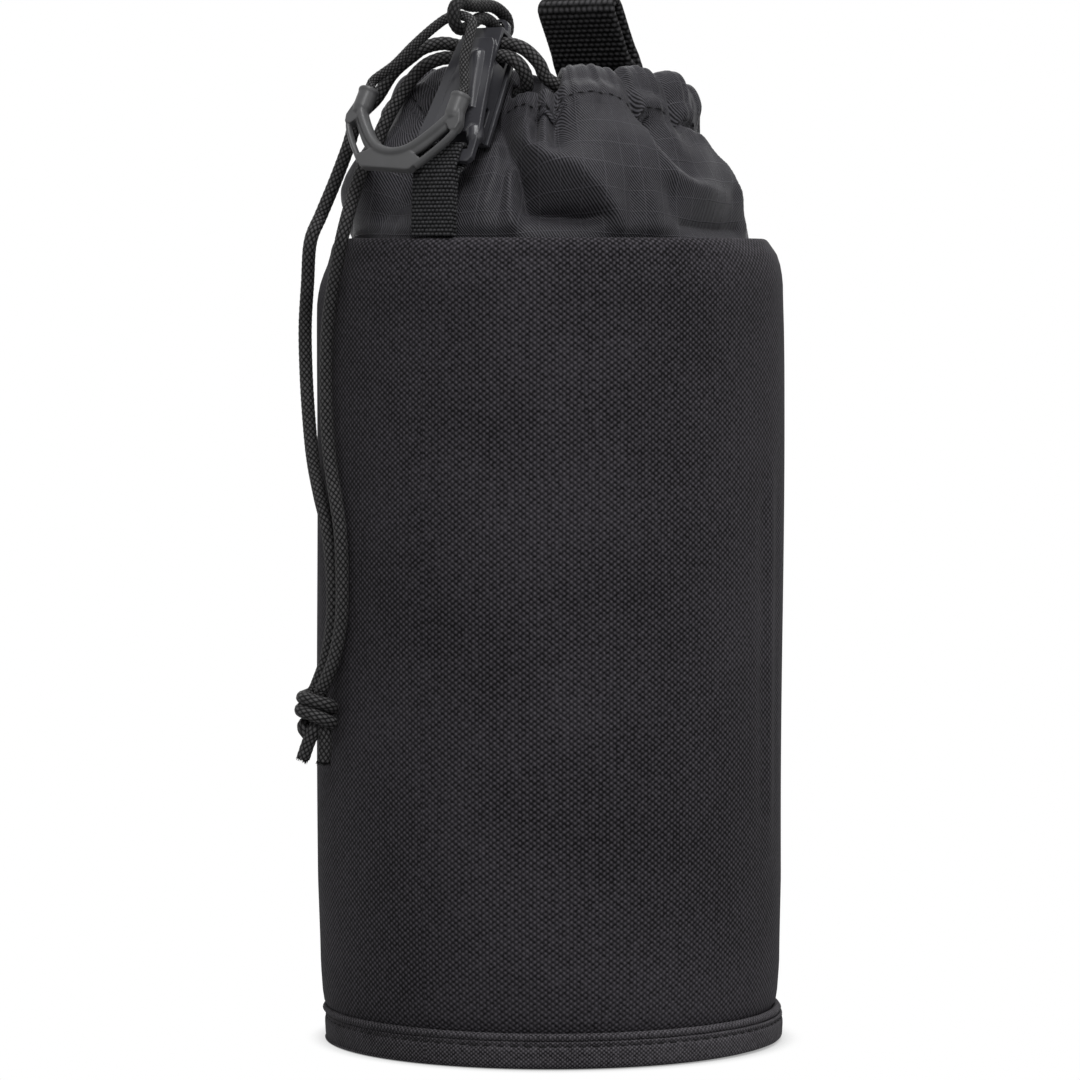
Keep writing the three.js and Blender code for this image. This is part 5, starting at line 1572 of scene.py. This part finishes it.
def belt_tab():
    def layer(name, node, y, thickness, rib, raised, material, slot):
        def share(s):
            return tab_share(TAB_FOLD - s, TAB_W / 2)

        piece = band(name, [[y, TAB_FOLD], [y, TAB_BOTTOM + 0.05]], 0.0, TAB_W, thickness, rib, raised, share)
        dress(piece, "belt_tab", material, slot, node)

    layer("tab_face", "tab_web", sum(WEB_Y) / 2, WEB_Y[1] - WEB_Y[0], STRAP_RIB, 0.12, STRAP, "webbing")
    layer("tab_backing", "tab_lining", TAB_Y + 0.3, 0.6, 1.2, 0.03, LINING, "webbing")
    inner, outer = span("tab_hook_patch", "y")
    z0, z1 = span("tab_hook_patch", "z")
    middle = (inner + outer) / 2
    hook = band("tab_hooks", [[middle, z1], [middle, z0]], 0.0, 26.0, outer - inner, 0.9, 0.2)
    dress(hook, "belt_tab", TAPE, "hook_tape", "tab_hook_patch")
    wear(NODES["tab_stiffener"], BOARD)
    seats = []

    def seam(xs, zs, ahead):
        seats.extend(([x, WEB_Y[1] + 0.05, z], ahead, [0, 1, 0]) for x in xs for z in zs)

    seam((-15.6, 15.6), np.arange(TAB_BOTTOM + 9, TAB_FOLD - 3, TAB_STITCH), [0, 0, 1])
    seam(np.arange(-12.5, 12.6, TAB_STITCH), (TAB_BOTTOM + 3.2, TAB_FOLD - 3.4), [1, 0, 0])
    seam(np.arange(-11.5, 11.6, TAB_STITCH), (z0 + 1.5, z1 - 1.5), [1, 0, 0])
    seam((-11.5, 11.5), np.arange(z0 + 3.5, z1 - 3, TAB_STITCH), [0, 0, 1])
    stitches("tab_seams", seats, "belt_tab", "webbing", length=1.9, width=0.42, rise=0.12)
    fold = band("tab_fold", FOLD_SIDE, 0.0, TAB_W, thickness=0.9, rib=STRAP_RIB, raised=0.1)
    dress(fold, None, STRAP, "webbing")
    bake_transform(fold)


def sewn_block(name, half, z0, z1, inner, outer, material, slot, node, rib):
    """A sewn pad on the sleeve's back. inner and outer give its two faces' y at an x."""
    xs = np.linspace(-half, half, 70)
    zs = np.linspace(z0, z1, int((z1 - z0) / (rib / 5)))
    rows = []
    for z in zs:
        lift = 0.1 * (abs(math.sin(math.pi * (z - z0) / rib)) ** 0.7 - 0.5)
        soft = min(1.0, math.sqrt(max(0.0, min(z - z0, z1 - z) / 0.5)))
        ends = 0.25 * (1 - soft)
        out = [(x, outer(x) + lift - ends) for x in xs]
        back = [(x, inner(x) + ends) for x in xs[::-1]]
        rows.append([[x, y, z] for x, y in [*out, *back]])
    piece = skin(name, rows, wrap=True, caps=True)
    dress(piece, "pouch", material, slot, node)


def back_pieces():
    sleeve = SLEEVE_R + CLEAR

    def on_sleeve(off):
        return lambda x: math.sqrt((sleeve + off) ** 2 - x * x)

    z0, z1 = span("tab_anchor", "z")
    flat = span("tab_anchor", "y")[1]
    pad = (STRAP, "webbing", "tab_anchor", STRAP_RIB)
    sewn_block("tab_anchor_pad", TAB_W / 2, z0, z1, on_sleeve(0), lambda x: flat, *pad)
    z0, z1 = span("tab_loop_patch", "z")
    tape = (TAPE, "hook_tape", "tab_loop_patch", 1.1)
    sewn_block("tab_loops", 14.0, z0, z1, on_sleeve(0), on_sleeve(1.2), *tape)


cord_path = drawcord_route()
drawcord = braided("drawcord", cord_path, CORD_D)
dress(drawcord, "pouch", DRAWCORD, "cord", "drawcord_loop")
knot_turns = knot()
hanging_strand("drawcord_end_a", STRAND_A, "drawcord_strand_a")
hanging_strand("drawcord_end_b", STRAND_B, "drawcord_strand_b")
leash()
pull_cord()
hem_stitches(collar_cloth(cord_path))
sleeve_shell()
sleeve_foam()
sleeve_lining()
base_pieces()
binding()
piping()
band_stitches()
hardware()
spring()
lock_strap()
haul_strap()
haul_loop()
belt_tab()
back_pieces()


# Studio


GLOW = 0.05
FLOOR_HALF = 6.0
FLOOR_GREY = (0.4, 0.4, 0.4, 1)
WHITE = (1, 1, 1, 1)


def seen_directly(tree):
    """1 for the camera's own rays and those off or through glossy and clear surfaces, else 0."""
    paths = node_in(tree, "ShaderNodeLightPath").outputs
    seen = paths["Is Camera Ray"]
    for kind in ("Is Glossy Ray", "Is Transmission Ray"):
        seen = node_in(tree, "ShaderNodeMath", {0: seen, 1: paths[kind]}, operation="MAXIMUM").outputs[0]
    return seen


def backdrop():
    """A world that is plain white to the camera and in reflections, and faint as light."""
    world = bpy.data.worlds.new("studio")
    bpy.context.scene.world = world
    world.use_nodes = True
    tree = world.node_tree
    background = next(n for n in tree.nodes if n.type == "BACKGROUND")
    level = node_in(tree, "ShaderNodeMapRange", {"Value": seen_directly(tree), "To Min": GLOW})
    feed(tree, background.inputs["Color"], WHITE)
    feed(tree, background.inputs["Strength"], level.outputs[0])


def paper():
    """White to the camera but for a little shade close under the pouch, and grey to the lamps' light."""
    made = Recipe("paper", (0, 0, 0), 0.9, Specular_IOR_Level=0.0)
    made.feed("Base Color", FLOOR_GREY)
    near = made.node("ShaderNodeAmbientOcclusion", {"Distance": 0.007}, samples=8)
    shade = made.node("ShaderNodeMapRange", {"Value": near.outputs["AO"], "From Max": 0.8, "To Min": 0.3})
    white = made.node("ShaderNodeEmission", {"Color": WHITE, "Strength": shade.outputs[0]})
    either = {0: seen_directly(made.tree), 1: made.shader.outputs[0], 2: white.outputs[0]}
    out = next(n for n in made.tree.nodes if n.type == "OUTPUT_MATERIAL")
    feed(made.tree, out.inputs["Surface"], made.node("ShaderNodeMixShader", either).outputs[0])
    return made.material


def studio():
    bpy.context.scene.view_settings.view_transform = "Standard"
    backdrop()
    mesh = bpy.data.meshes.new("floor")
    corners = [(x * FLOOR_HALF, y * FLOOR_HALF, 0) for x, y in ((-1, -1), (1, -1), (1, 1), (-1, 1))]
    mesh.from_pydata(corners, [], [(0, 1, 2, 3)])
    floor = linked("floor", mesh)
    floor.location.z = -0.0001
    wear(floor, paper())

    def lamp(name, azimuth, elevation, distance, size, power):
        data = bpy.data.lights.new(name, "AREA")
        data.shape = "RECTANGLE"
        data.size, data.size_y = size
        data.energy = power
        made = linked(name, data)
        a, e = azimuth * DEG, elevation * DEG
        back = Vector((math.sin(a) * math.cos(e), -math.cos(a) * math.cos(e), math.sin(e)))
        made.location = Vector((0, 0, 0.11)) + back * distance
        made.rotation_mode = "QUATERNION"
        made.rotation_quaternion = (-back).to_track_quat("-Z", "Y")

    # azimuth, elevation, distance, size and power
    lamp("key", 34, 44, 1.5, (0.5, 0.5), 10)
    lamp("fill", 96, 16, 1.6, (0.9, 1.2), 4.2)
    lamp("side", -50, 20, 1.6, (0.9, 0.9), 0.5)
    lamp("top", 50, 76, 1.3, (0.5, 0.5), 8)
    lamp("back", 200, 35, 1.6, (0.9, 0.9), 5)


studio()
